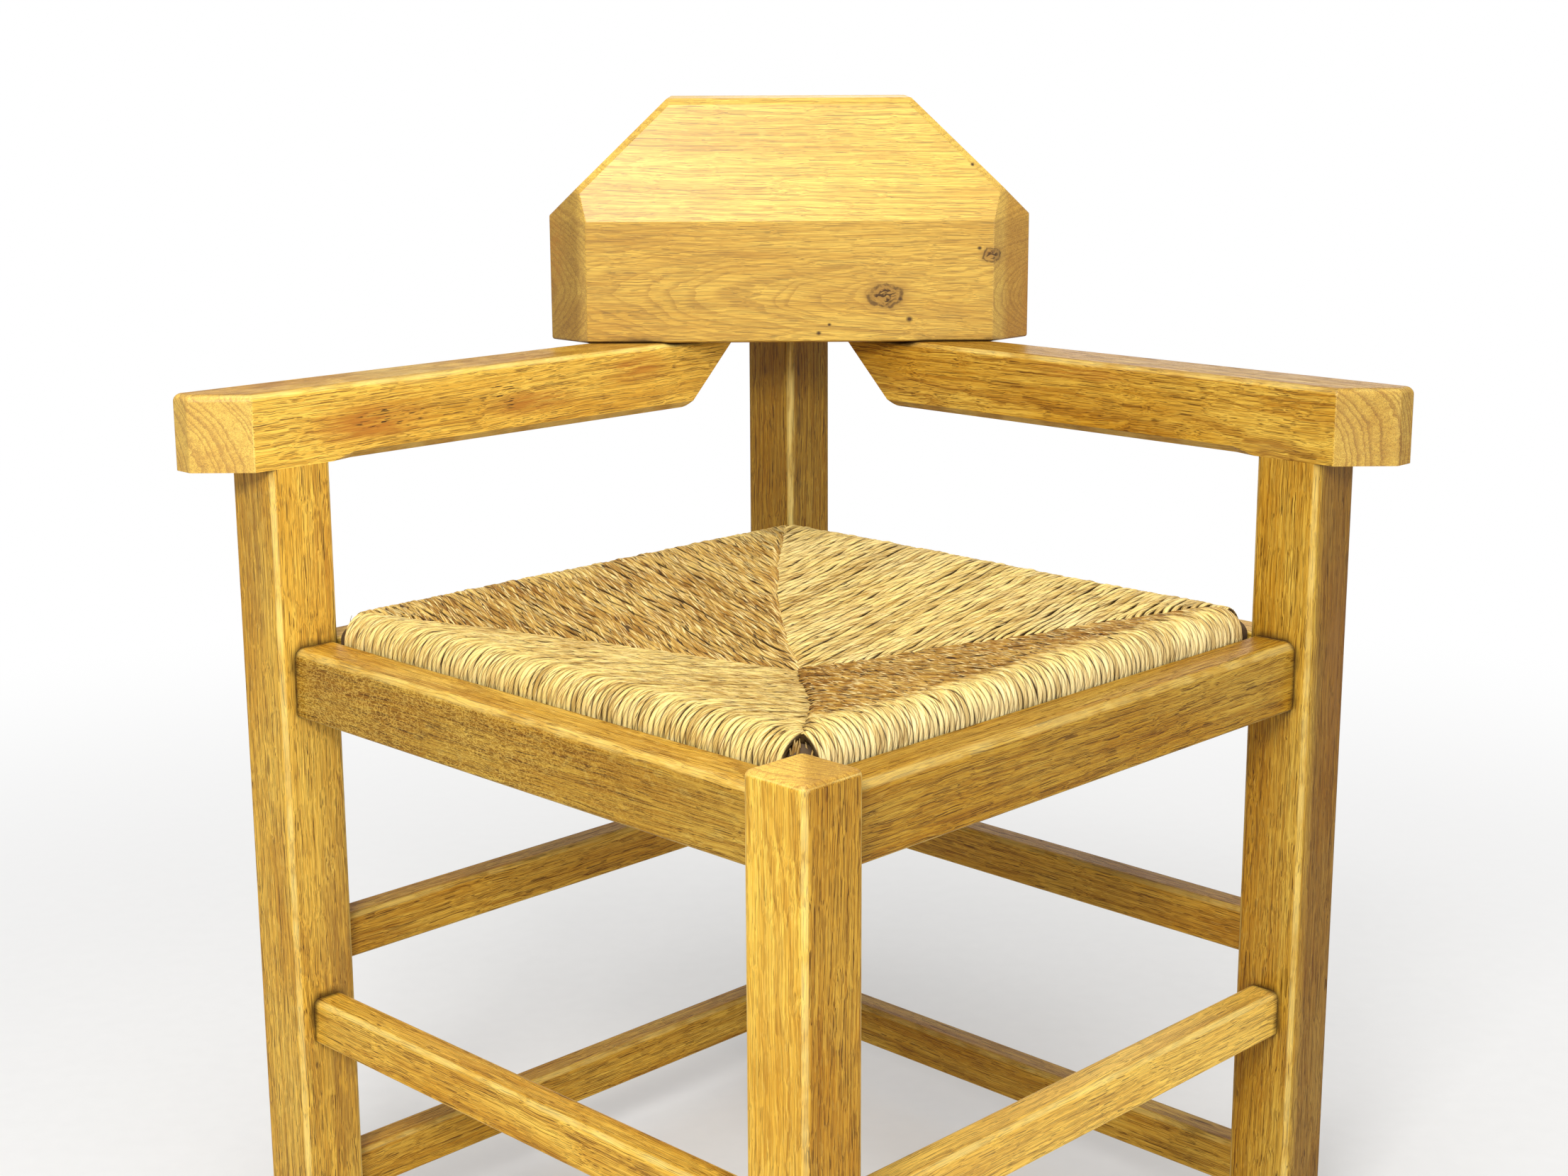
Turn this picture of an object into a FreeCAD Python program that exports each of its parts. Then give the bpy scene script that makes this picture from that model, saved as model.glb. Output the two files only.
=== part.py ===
import FreeCAD, Part
import math
import os
from FreeCAD import Vector

os.makedirs("parts", exist_ok=True)

# Corner chair in heavy solid oak. Four square posts stand at the corners of a square that is
# turned 45 degrees, so one post points forward. Rails and stretchers are tenoned between the
# posts, two arms lie on the left and right posts, a thick block rests on the arm ends and on
# the back post, and a seat pad on its own frame drops in between the rails.
#
# Origin: on the floor, under the middle of the seat. X to the right, Y to the back, Z up.
# Most pieces are drawn in the frame of the square, whose sides run along its own x and y,
# and are then turned by 45 degrees. In that frame the front post is at (-, -), the right
# post at (+, -), the back post at (+, +) and the left post at (-, +).

# Posts, in mm. The spacing is between the axes of neighbouring posts.
post_side = 46.0
post_spacing = 466.5
post_round = 5.0
front_post_rise = 12.5
front_post_rim = 4.0
foot_chamfer = 2.0

# Seat rails, set back from the posts' outer faces
rail_top = 447.0
rail_height = 45.5
rail_width = 30.0
rail_setback = 10.5
rail_top_round = 7.0
rail_edge_round = 2.0

# Stretchers, on the middle lines between the posts
stretcher_height = 30.5
stretcher_width = 23.0
stretcher_round = 5.0
stretcher_edge_round = 2.0
front_stretcher_top = 205.8
back_upper_stretcher_top = 251.8
back_lower_stretcher_top = 79.0

# Tenons, cut to a mitre where two of them meet inside a post
tenon_thickness = 12.0
tenon_shoulder = 6.0
rail_tenon_drop = 8.0
mitre_gap = 1.0

# Arms, flush with the posts under them
arm_rise = 118.0
arm_thickness = 49.0
arm_overhang = 63.0
arm_corner_cut = 29.0
arm_end_to_back_post = 79.2
arm_round = 5.0
arm_end_round = 3.0
arm_heel_round = 9.0
arm_bevel = 5.0
arm_bevel_start = 23.0
arm_bevel_run = 18.0
post_tenon_side = 26.0
post_tenon_height = 26.0
post_tenon_gap = 1.0

# Backrest block. Its front face stands this far in front of the back post's axis.
back_forward = 120.9
back_thickness = 126.0
back_half_width = 174.5
back_corner_cut = 28.0
back_fold_height = 87.0
back_shoulder_height = 90.0
back_height = 173.0
back_top_half_width = 87.7
back_lean = 19.0
back_bevel = 4.5
back_round = 2.0

# Dowels under the backrest
dowel_diameter = 12.0
dowel_in_arm = 24.0
dowel_in_back = 30.0
dowel_hole_gap = 1.0
dowel_chamfer = 1.5
arm_dowel_to_back_post = 125.5
arm_dowel_pitch = 23.0
post_dowel_forward = 14.0

# Seat pad, drawn in at its sides and dished in four fields
cord = 5.0
pad_gap_to_rail = 1.0
pad_crest_rise = 18.5
pad_over_frame = 6.0
pad_corner_to_post = 34.0
pad_corner_round = 6.0
pad_crest_round = 17.0
pad_bottom_round = 5.0
pad_crest_inset = 21.5
pad_dip = 40.0
pad_rim_round = 40.0
pad_sag = 17.5
pad_sag_inset = 56.75
pad_clearance = 0.3

# Seat frame inside the pad, four mitred rails
frame_width = 24.0
frame_height = 29.0
frame_round = 13.0
frame_gap_to_post = 0.5

# Corner blocks under the seat, and the screws that hold them to the rails
block_height = 20.0
block_reach = 105.0
screw_along = 62.0
screw_in_block = 18.5
screw_in_rail = 22.0
screw_shank = 4.0
screw_head = 8.0
screw_head_height = 3.0
screw_counterbore = 9.0

# Sizes that follow from the ones above
half = post_spacing / 2
post_half = post_side / 2
rail_outer = post_half - rail_setback
rail_inner = rail_width - rail_outer
rail_middle = (rail_outer - rail_inner) / 2
arm_bottom = rail_top + arm_rise
arm_top = arm_bottom + arm_thickness
back_front = half * math.sqrt(2) - back_forward
back_rear = back_front + back_thickness
back_fold = arm_top + back_fold_height
back_shoulder = arm_top + back_shoulder_height
back_top = arm_top + back_height
pad_half = half - rail_inner - pad_gap_to_rail
pad_crest = rail_top + pad_crest_rise
frame_half = min(pad_half - cord, half - post_half - frame_gap_to_post)
frame_top = pad_crest - pad_over_frame
frame_bottom = frame_top - frame_height
pad_bottom = frame_bottom - cord
block_top = pad_bottom - pad_clearance

# Cutting tools run this far past the faces that they cut
past = 1.0

UP = Vector(0, 0, 1)
ALONG_X = Vector(1, 0, 0)
ALONG_Y = Vector(0, 1, 0)
ORIGIN = Vector(0, 0, 0)


def box(x0, x1, y0, y1, z0, z1):
    return Part.makeBox(x1 - x0, y1 - y0, z1 - z0, Vector(x0, y0, z0))


def filled(points, push):
    # The flat face inside the points, pushed out into a solid
    return Part.Face(Part.makePolygon(points + points[:1])).extrude(push)


def prism(plan, z0, z1):
    return filled([Vector(x, y, z0) for x, y in plan], Vector(0, 0, z1 - z0))


def turned(shape, degrees):
    # The shape turned about the vertical through the origin
    out = shape.copy()
    out.rotate(ORIGIN, UP, degrees)
    return out


def placed(shape):
    # From the frame of the square to the frame of the chair
    return turned(shape, 45)


def mirrored(shape):
    # From the left side of the chair to the right side
    return shape.mirror(ORIGIN, ALONG_X)


def edges_where(shape, test):
    return [edge for edge in shape.Edges if edge.Length > 0.5 and test(edge)]


def is_along(edge, direction):
    if len(edge.Vertexes) < 2:
        return False
    run = edge.Vertexes[-1].Point.sub(edge.Vertexes[0].Point)
    return run.Length > 1e-6 and abs(abs(run.dot(direction)) / run.Length - 1) < 1e-6


def long_edges(bar, test):
    # Edges of a bar along y whose middle passes the test
    return edges_where(bar, lambda e: is_along(e, ALONG_Y) and test(e.CenterOfMass))


def save(name, shape):
    shape.removeSplitter().exportStep("parts/" + name + ".step")


def save_group(name, shapes):
    Part.makeCompound(shapes).exportStep("parts/" + name + ".step")


# Rails and stretchers. Each one is drawn on the front-left side of the square, where it
# runs along y and its outer face looks to -x, and is then turned to its own side.
def tenon_pair(middle, z0, z1, gap):
    # Both mitred tenons of a bar whose middle line lies `middle` outside the posts' axes
    far = middle + tenon_thickness / 2
    near = middle - tenon_thickness / 2
    tenons = []
    for end in (-1, 1):
        plan = [
            (-half - far, end * (half - post_half)),
            (-half - far, end * (half + far - gap)),
            (-half - near, end * (half + near - gap)),
            (-half - near, end * (half - post_half)),
        ]
        tenons.append(prism(plan, z0, z1))
    return tenons


def rail_tenons(gap):
    low = rail_top - rail_height + tenon_shoulder
    return tenon_pair(rail_middle, low, rail_top - rail_tenon_drop, gap)


def stretcher_tenons(top, gap):
    low = top - stretcher_height + tenon_shoulder
    return tenon_pair(0.0, low, top - tenon_shoulder, gap)


def bar_between_posts(outer, inner, top, height):
    reach = half - post_half
    return box(-half - outer, -half + inner, -reach, reach, top - height, top)


def rail():
    bar = bar_between_posts(rail_outer, rail_inner, rail_top, rail_height)
    middle = rail_top - rail_height / 2
    top_outer = long_edges(bar, lambda c: c.z > middle and c.x < -half)
    bar = bar.makeFillet(rail_top_round, top_outer)
    others = long_edges(bar, lambda c: c.z < middle or c.x > -half)
    bar = bar.makeFillet(rail_edge_round, others)
    for tenon in rail_tenons(mitre_gap):
        bar = bar.fuse(tenon)
    return bar


def stretcher(top):
    side = stretcher_width / 2
    bar = bar_between_posts(side, side, top, stretcher_height)
    middle = top - stretcher_height / 2
    bar = bar.makeFillet(stretcher_round, long_edges(bar, lambda c: c.z > middle))
    bar = bar.makeFillet(stretcher_edge_round, long_edges(bar, lambda c: c.z < middle))
    for tenon in stretcher_tenons(top, mitre_gap):
        bar = bar.fuse(tenon)
    return bar


# The four sides of the square, as turns from the front-left side
SIDES = {"front_left": 0, "front_right": 90, "back_right": 180, "back_left": 270}
FRONT_TOPS = {"": front_stretcher_top}
BACK_TOPS = {"_upper": back_upper_stretcher_top, "_lower": back_lower_stretcher_top}

mortises = []
for side, degrees in SIDES.items():
    mortises += [turned(m, degrees) for m in rail_tenons(0.0)]
    tops = FRONT_TOPS if side.startswith("front") else BACK_TOPS
    for level, top in tops.items():
        save("stretcher_" + side + level, placed(turned(stretcher(top), degrees)))
        mortises += [turned(m, degrees) for m in stretcher_tenons(top, 0.0)]


# Posts, square bars with rounded edges and a small chamfer at the foot
def post(x, y, top):
    bar = box(x - post_half, x + post_half, y - post_half, y + post_half, 0, top)
    bar = bar.makeFillet(post_round, edges_where(bar, lambda e: is_along(e, UP)))
    foot = edges_where(bar, lambda e: e.BoundBox.ZMax < 0.01)
    return bar.makeChamfer(foot_chamfer, foot)


def with_mortises(bar):
    for mortise in mortises:
        if mortise.BoundBox.intersect(bar.BoundBox):
            bar = bar.cut(mortise)
    return bar


def post_tenon(spare):
    # Square tenon on the left post, with `spare` height over it in the arm
    side = post_tenon_side / 2
    top = arm_bottom + post_tenon_height + spare
    return box(-half - side, -half + side, half - side, half + side, arm_bottom, top)


front_post_top = rail_top + front_post_rise
front_post = post(-half, -half, front_post_top)
rim = edges_where(front_post, lambda e: e.BoundBox.ZMin > front_post_top - 0.01)
front_post = front_post.makeFillet(front_post_rim, rim)
save("post_front", placed(with_mortises(front_post)))

left_post = with_mortises(post(-half, half, arm_bottom)).fuse(post_tenon(0.0))
save("post_left", placed(left_post))
save("post_right", mirrored(placed(left_post)))


# Left arm, drawn along x over the left post. The front end is cut at 45 degrees on the
# inner corner, the back end is undercut at 45 degrees.
arm_inner = half - post_half
arm_outer = half + post_half
arm_front = -half - arm_overhang
arm_back = half - arm_end_to_back_post


def arm():
    plan = [
        (arm_front + arm_corner_cut, arm_inner),
        (arm_front, arm_inner + arm_corner_cut),
        (arm_front, arm_outer),
        (arm_back, arm_outer),
        (arm_back, arm_inner),
    ]
    body = prism(plan, arm_bottom, arm_top)
    front_corners = edges_where(body, lambda e: is_along(e, UP) and e.CenterOfMass.x < 0)
    body = body.makeFillet(arm_end_round, front_corners)

    heel = arm_back - arm_thickness
    undercut = [
        Vector(heel, arm_inner - past, arm_bottom),
        Vector(arm_back + past, arm_inner - past, arm_top + past),
        Vector(arm_back + past, arm_inner - past, arm_bottom),
    ]
    body = body.cut(filled(undercut, Vector(0, post_side + 2 * past, 0)))
    heel_edge = long_edges(body, lambda c: abs(c.x - heel) < 0.1 and c.z < arm_bottom + 0.1)
    body = body.makeFillet(arm_heel_round, heel_edge)

    top_rim = edges_where(body, lambda e: e.BoundBox.ZMin > arm_top - 0.01
                          and e.CenterOfMass.x < arm_back - past)
    body = body.makeFillet(arm_round, top_rim)
    for face_y, outward in ((arm_inner, -1), (arm_outer, 1)):
        body = body.cut(stopped_bevel(face_y, outward))
    return body.cut(post_tenon(post_tenon_gap))


def stopped_bevel(face_y, outward):
    # Along the lower edge, from full size at the undercut to nothing beside the post
    start = -half + arm_bevel_start
    sections = []
    for x, size in ((start, 0.05), (start + arm_bevel_run, arm_bevel), (arm_back, arm_bevel)):
        corner = Vector(x, face_y + outward * past / 2, arm_bottom - past / 2)
        across = Vector(x, face_y - outward * size, arm_bottom - past / 2)
        above = Vector(x, face_y + outward * past / 2, arm_bottom + size)
        sections.append(Part.makePolygon([corner, across, above, corner]))
    fading = Part.makeLoft(sections[:2], True, True)
    return fading.fuse(Part.makeLoft(sections[1:], True, True))


# Backrest, an eight-cornered block cut by its front outline and by its leaning sides
def backrest():
    w = back_half_width
    cut = back_corner_cut
    plan = [
        (-w + cut, back_front), (w - cut, back_front), (w, back_front + cut),
        (w, back_rear - cut), (w - cut, back_rear), (-w + cut, back_rear),
        (-w, back_rear - cut), (-w, back_front + cut),
    ]
    outline = [
        (-w, arm_top), (w, arm_top), (w, back_shoulder), (back_top_half_width, back_top),
        (-back_top_half_width, back_top), (-w, back_shoulder),
    ]
    side = [
        (back_front, arm_top), (back_front, back_fold), (back_front + back_lean, back_top),
        (back_rear - back_lean, back_top), (back_rear, back_fold), (back_rear, arm_top),
    ]
    from_front = [Vector(x, back_front - past, z) for x, z in outline]
    from_side = [Vector(-w - past, y, z) for y, z in side]
    body = prism(plan, arm_top, back_top)
    body = body.common(filled(from_front, Vector(0, back_thickness + 2 * past, 0)))
    body = body.common(filled(from_side, Vector(2 * (w + past), 0, 0)))
    body = body.makeChamfer(back_bevel, edges_where(body, on_leaning_rim))
    return body.makeFillet(back_round, edges_where(body, clear_of_bevel))


def on_leaning_rim(edge):
    # Edges where the leaning front face meets the slopes and the top
    middle = edge.CenterOfMass
    share = (middle.z - back_fold) / (back_top - back_fold)
    on_lean = abs(middle.y - back_front - back_lean * share) < 0.05
    return on_lean and share > 0.2 and edge.Length > back_corner_cut * 2


def clear_of_bevel(edge):
    # Edges away from the bevelled rim of the leaning front face
    middle = edge.CenterOfMass
    forward = middle.y < back_front + back_lean + back_bevel + back_round
    return not (forward and middle.z > back_fold + 0.2 * (back_top - back_fold))


# Dowels, placed in the frame of the square
def dowel(x, y):
    foot = Vector(x, y, arm_top - dowel_in_arm)
    pin = Part.makeCylinder(dowel_diameter / 2, dowel_in_arm + dowel_in_back, foot)
    ends = edges_where(pin, lambda e: e.BoundBox.ZLength < 0.01)
    return pin.makeChamfer(dowel_chamfer, ends)


def dowel_hole(x, y):
    foot = Vector(x, y, arm_top - dowel_in_arm - dowel_hole_gap)
    depth = dowel_in_arm + dowel_in_back + 2 * dowel_hole_gap
    return Part.makeCylinder(dowel_diameter / 2, depth, foot)


arm_dowels = [
    (half - arm_dowel_to_back_post, half),
    (half - arm_dowel_to_back_post - arm_dowel_pitch, half),
]
post_dowel_axis = half - post_dowel_forward / math.sqrt(2)

left_arm = arm()
for x, y in arm_dowels:
    left_arm = left_arm.cut(dowel_hole(x, y))
save("arm_left", placed(left_arm))
save("arm_right", mirrored(placed(left_arm)))

left_dowels = [placed(dowel(x, y)) for x, y in arm_dowels]
save_group("dowels_arm_left", left_dowels)
save_group("dowels_arm_right", [mirrored(d) for d in left_dowels])
save("dowel_back_post", placed(dowel(post_dowel_axis, post_dowel_axis)))

post_dowel_hole = dowel_hole(post_dowel_axis, post_dowel_axis)
back_post = with_mortises(post(half, half, arm_top)).cut(post_dowel_hole)
save("post_back", placed(back_post))

left_holes = [placed(dowel_hole(x, y)) for x, y in arm_dowels]
block = backrest()
for hole in left_holes + [mirrored(h) for h in left_holes] + [placed(post_dowel_hole)]:
    block = block.cut(hole)
save("backrest", block)


# Seat frame, one mitred rail per side
def frame_rail(clearance):
    outer = frame_half + clearance
    inner = frame_half - frame_width - clearance
    plan = [(-outer, -outer), (-inner, -inner), (-inner, inner), (-outer, outer)]
    bar = prism(plan, frame_bottom - clearance, frame_top + clearance)
    top_outer = long_edges(bar, lambda c: c.x < -outer + 0.1 and c.z > frame_top - 0.1)
    return bar.makeFillet(frame_round + clearance, top_outer)


for side, degrees in SIDES.items():
    save("seat_frame_" + side, placed(turned(frame_rail(0.0), degrees)))


# Seat pad, a square with cut corners, rounded edges and a dished top, wound round the frame
def pyramid(base_half, z_base, z_tip):
    corners = [Vector(x * base_half, y * base_half, z_base)
               for x, y in ((-1, -1), (1, -1), (1, 1), (-1, 1))]
    tip = Vector(0, 0, z_tip)
    faces = [Part.Face(Part.makePolygon(corners + corners[:1]))]
    for i in range(4):
        a = corners[i]
        b = corners[(i + 1) % 4]
        faces.append(Part.Face(Part.makePolygon([a, b, tip, a])))
    return Part.makeSolid(Part.makeShell(faces))


def seat_pad():
    p = pad_half
    s = half - pad_corner_to_post
    plan = [(-p, -s), (-s, -p), (s, -p), (p, -s), (p, s), (s, p), (-s, p), (-p, s)]
    pad = prism(plan, pad_bottom, pad_crest)
    pad = pad.makeFillet(pad_corner_round, edges_where(pad, lambda e: is_along(e, UP)))
    crest = edges_where(pad, lambda e: e.BoundBox.ZMin > pad_crest - 0.01)
    pad = pad.makeFillet(pad_crest_round, crest)
    low = edges_where(pad, lambda e: e.BoundBox.ZMax < pad_bottom + 0.01)
    pad = pad.makeFillet(pad_bottom_round, low)

    dish_half = pad_half - pad_crest_inset
    pad = pad.cut(pyramid(dish_half, pad_crest, pad_crest - pad_dip))

    def on_lip(edge):
        middle = edge.CenterOfMass
        reach = max(abs(middle.x), abs(middle.y))
        return abs(reach - dish_half) < 0.1 and edge.Length > pad_half

    pad = pad.makeFillet(pad_rim_round, edges_where(pad, on_lip))
    pad = pad.fuse(pyramid(pad_half - pad_sag_inset, pad_bottom, pad_bottom - pad_sag))
    for degrees in SIDES.values():
        pad = pad.cut(turned(frame_rail(pad_clearance), degrees))
    return pad


save("seat_rush", placed(seat_pad()))


# Corner blocks, one in each corner of the rails, drawn at the front post
def screw_seats():
    # Where each screw's head sits and which way it faces
    along = -half + screw_along
    seat = -half + rail_inner + screw_in_block
    level = block_top - block_height / 2
    return [(Vector(seat, along, level), ALONG_X), (Vector(along, seat, level), ALONG_Y)]


def screws():
    made = []
    length = screw_in_block + screw_in_rail
    for seat, outward in screw_seats():
        tip = seat.sub(Vector(outward).multiply(length))
        shank = Part.makeCylinder(screw_shank / 2, length, tip, outward)
        head = Part.makeCylinder(screw_head / 2, screw_head_height, seat, outward)
        made.append(shank.fuse(head).removeSplitter())
    return made


def corner_block():
    at_rail = -half + rail_inner
    at_post = -half + post_half
    end = -half + block_reach - rail_inner
    plan = [(at_post, at_rail), (end, at_rail), (at_rail, end), (at_rail, at_post)]
    plan.append((at_post, at_post))
    body = prism(plan, block_top - block_height, block_top)
    for screw in screws():
        body = body.cut(screw)
    for seat, outward in screw_seats():
        body = body.cut(Part.makeCylinder(screw_counterbore / 2, block_reach, seat, outward))
    return body


CORNERS = {"front": 0, "right": 90, "back": 180, "left": 270}
all_screws = []
for corner, degrees in CORNERS.items():
    save("corner_block_" + corner, placed(turned(corner_block(), degrees)))
    all_screws += [turned(s, degrees) for s in screws()]
save_group("corner_block_screws", [placed(s) for s in all_screws])


# Seat rails, each with the holes of its own two screws
for side, degrees in SIDES.items():
    bar = turned(rail(), degrees)
    for screw in all_screws:
        if screw.BoundBox.intersect(bar.BoundBox):
            bar = bar.cut(screw)
    save("rail_" + side, placed(bar))
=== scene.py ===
# %% [markdown]
# A corner chair in oak with a rush seat. The wooden parts come from the packed model as they are, and
# this lesson gives them their finish. The woven seat is made here, cord by cord, over the space that
# the packed model keeps for it. Everything is in metres, in the packed model's own frame: the chair
# stands on z = 0, the front post points along -Y and +X is to the right of somebody looking at it.

# %% Load the packed chair
import math
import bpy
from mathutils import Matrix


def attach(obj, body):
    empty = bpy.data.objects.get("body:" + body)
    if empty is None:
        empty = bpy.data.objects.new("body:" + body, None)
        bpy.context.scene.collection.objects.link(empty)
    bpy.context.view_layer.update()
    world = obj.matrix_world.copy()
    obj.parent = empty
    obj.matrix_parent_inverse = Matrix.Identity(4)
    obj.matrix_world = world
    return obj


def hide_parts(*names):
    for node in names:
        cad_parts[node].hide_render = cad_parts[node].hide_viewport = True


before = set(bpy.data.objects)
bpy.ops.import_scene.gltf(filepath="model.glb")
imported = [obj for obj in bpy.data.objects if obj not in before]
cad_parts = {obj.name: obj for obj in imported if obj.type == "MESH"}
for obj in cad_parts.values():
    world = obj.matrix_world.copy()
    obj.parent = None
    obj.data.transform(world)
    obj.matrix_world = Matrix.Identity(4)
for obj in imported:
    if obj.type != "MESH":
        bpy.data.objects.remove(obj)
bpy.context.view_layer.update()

from types import SimpleNamespace

import bpy
import numpy as np
from mathutils import Matrix, Vector

MM = 0.001
print("packed nodes:", len(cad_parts))

# %% [markdown]
# The camera comes first. Its lens and place were fitted to edges read off the photograph. A camera looks
# along its own -Z, so its three axes are built from a heading, a tilt down and a small roll, and are
# written into its matrix as columns.

# %% Camera
HEADING, TILT, ROLL = (math.radians(angle) for angle in (0.44685, 12.9692, -0.26239))
CAMERA_PLACE = Vector((-0.01881, -1.51390, 0.82839))
LENS_LENGTH, SENSOR_WIDTH = 54.763, 36.0
SEAT_MIDDLE = Vector((0, 0, 0.45))


def put_in_scene(name, data):
    holder = bpy.data.objects.new(name, data)
    bpy.context.scene.collection.objects.link(holder)
    return holder


ahead = Vector((math.sin(HEADING) * math.cos(TILT), math.cos(HEADING) * math.cos(TILT), -math.sin(TILT)))
level = Vector((math.cos(HEADING), -math.sin(HEADING), 0.0))
upward = level.cross(ahead)
to_right = math.cos(ROLL) * level + math.sin(ROLL) * upward
to_top = math.cos(ROLL) * upward - math.sin(ROLL) * level
looking = Matrix((to_right, to_top, -ahead)).transposed().to_4x4()

lens = bpy.data.cameras.new("photo_lens")
lens.lens = LENS_LENGTH
lens.sensor_width = SENSOR_WIDTH
lens.clip_start = 0.05
camera = put_in_scene("photo_camera", lens)
camera.matrix_world = Matrix.Translation(CAMERA_PLACE) @ looking
bpy.context.scene.camera = camera
bpy.context.scene.view_settings.view_transform = "Standard"
print("camera", round((CAMERA_PLACE - SEAT_MIDDLE).length, 3), "m from the seat")

# %% [markdown]
# Finishes are built from nodes. Written out one by one, node calls hide the idea behind the wiring, so a
# small helper turns them into plain calls. Each value may be a number or another node's output. A step
# is a soft switch from one number to another while its value goes from low to high, and it also works
# with low above high.

# %% A helper that writes nodes
class Nodes:
    def __init__(self, tree):
        self.tree = tree

    def give(self, socket, value):
        if isinstance(value, bpy.types.NodeSocket):
            self.tree.links.new(value, socket)
        else:
            socket.default_value = value

    def node(self, kind, *values, out=0, **settings):
        made = self.tree.nodes.new("ShaderNode" + kind)
        for name, value in settings.items():
            setattr(made, name, value)
        for socket, value in zip(made.inputs, values):
            if value is not None:
                self.give(socket, value)
        return made.outputs[out]

    def math(self, operation, *values):
        return self.node("Math", *values, operation=operation)

    def times(self, first, second):
        return self.math("MULTIPLY", first, second)

    def vector(self, operation, *values):
        return self.node("VectorMath", *values, operation=operation)

    def length(self, vector):
        return self.node("VectorMath", vector, operation="LENGTH", out=1)

    def dot(self, vector, direction):
        return self.node("VectorMath", vector, tuple(direction), operation="DOT_PRODUCT", out=1)

    def part(self, vector, axis):
        return self.node("SeparateXYZ", vector).node.outputs[axis]

    def step(self, value, low, high, at_low=0.0, at_high=1.0):
        return self.node("MapRange", value, low, high, at_low, at_high, interpolation_type="SMOOTHSTEP")


print("node helper with", len([name for name in vars(Nodes) if not name.startswith("_")]), "calls")

# %% [markdown]
# On top of that come patterns and colours. Streaks are noise drawn out along the grain. To lay is to
# cover with a colour, as paint does. To tint is to multiply by a colour, as a glaze does: it darkens and
# lets what is underneath show.

# %% Patterns and colours
NOISE_ROUGHNESS = 0.5


class Patterns(Nodes):
    def noise(self, vector, scale=1.0, detail=2.0, out=0, swirl=0.0):
        made = self.node("TexNoise", vector, None, scale, detail, NOISE_ROUGHNESS, out=out)
        made.node.inputs["Distortion"].default_value = swirl
        return made

    def streaks(self, vector, stretch, detail=2.0, out=0, swirl=0.0):
        """stretch says how fast the noise changes along x and across it, per unit of the vector."""
        along, across = stretch
        drawn = self.vector("MULTIPLY", vector, (along, across, across))
        return self.noise(drawn, 1.0, detail, out, swirl)

    def mix(self, share, first, second, how="MIX"):
        made = self.tree.nodes.new("ShaderNodeMix")
        made.data_type = "RGBA"
        made.blend_type = how
        for index, value in ((0, share), (6, first), (7, second)):
            self.give(made.inputs[index], value)
        return made.outputs[2]

    def lay(self, base, colour, share):
        return self.mix(share, base, colour)

    def tint(self, base, shade, share=1.0):
        return self.mix(share, base, shade, how="MULTIPLY")


def paint(red, green, blue):
    return (red, green, blue, 1.0)


print("a full white is", paint(1, 1, 1))

# %% [markdown]
# A finish is colour, roughness and a bump that reads a height. Over it goes the polish, a thin coat of a
# very high index at a low weight. A coat of the usual index shines most where it is seen at a low angle,
# and in a white studio that turns every edge milky. This one shines almost evenly from all sides, like
# old wax.

# %% Finish and polish
WAX_INDEX = 2.4
BARE_SHINE = 0.03


class Recipe(Patterns):
    def finish(self, shader, colour, roughness, height, depth, strength=0.4):
        bump = self.tree.nodes.new("ShaderNodeBump")
        bump.inputs["Strength"].default_value = strength
        bump.inputs["Distance"].default_value = depth
        self.give(bump.inputs["Height"], height)
        self.give(shader.inputs["Base Color"], colour)
        self.give(shader.inputs["Roughness"], roughness)
        self.give(shader.inputs["Normal"], bump.outputs[0])

    def wax(self, shader, weight, roughness):
        shader.inputs["Specular IOR Level"].default_value = BARE_SHINE
        shader.inputs["Coat IOR"].default_value = WAX_INDEX
        shader.inputs["Coat Weight"].default_value = weight
        shader.inputs["Coat Roughness"].default_value = roughness


def new_material(name):
    material = bpy.data.materials.new(name)
    material.use_nodes = True
    material.node_tree.nodes.clear()
    recipe = Recipe(material.node_tree)
    shader = material.node_tree.nodes.new("ShaderNodeBsdfPrincipled")
    output = material.node_tree.nodes.new("ShaderNodeOutputMaterial")
    recipe.surface = output.inputs["Surface"]
    recipe.give(recipe.surface, shader.outputs[0])
    return material, recipe, shader


print("polish: a coat of index", WAX_INDEX)

# %% [markdown]
# Oak is a stack of cones: growth rings around a pith line. A face cut along the rings shows tongues, a
# face cut across them shows straight lines, and an end shows arcs. If the rings are worked out in space,
# as the distance from a pith line, all three come out by themselves on every face of a beam, and the
# pattern runs round its edges as it does in a real board. The node group below does that. It is fed with
# grain coordinates in millimetres: x along the pith line, y and z across it.
#
# A slow noise bends the rings, so that the lines wander, a quicker one makes them waver, and a third
# makes their edges ragged. Good and bad years make some rings wide and others narrow. Each ring starts
# with early wood, which is open and darker.

# %% Rings of the oak
STRAW, AMBER = paint(0.93, 0.61, 0.098), paint(0.72, 0.37, 0.022)
PALE, RAY = paint(0.97, 0.78, 0.27), paint(0.90, 0.61, 0.13)
PORE, CRACK = paint(0.105, 0.034, 0.003), paint(0.040, 0.014, 0.003)
SLOW_BEND, WAVER, RAGGED_EDGE = (0.0045, 0.017), (0.035, 0.09), (0.045, 0.35)

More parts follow.
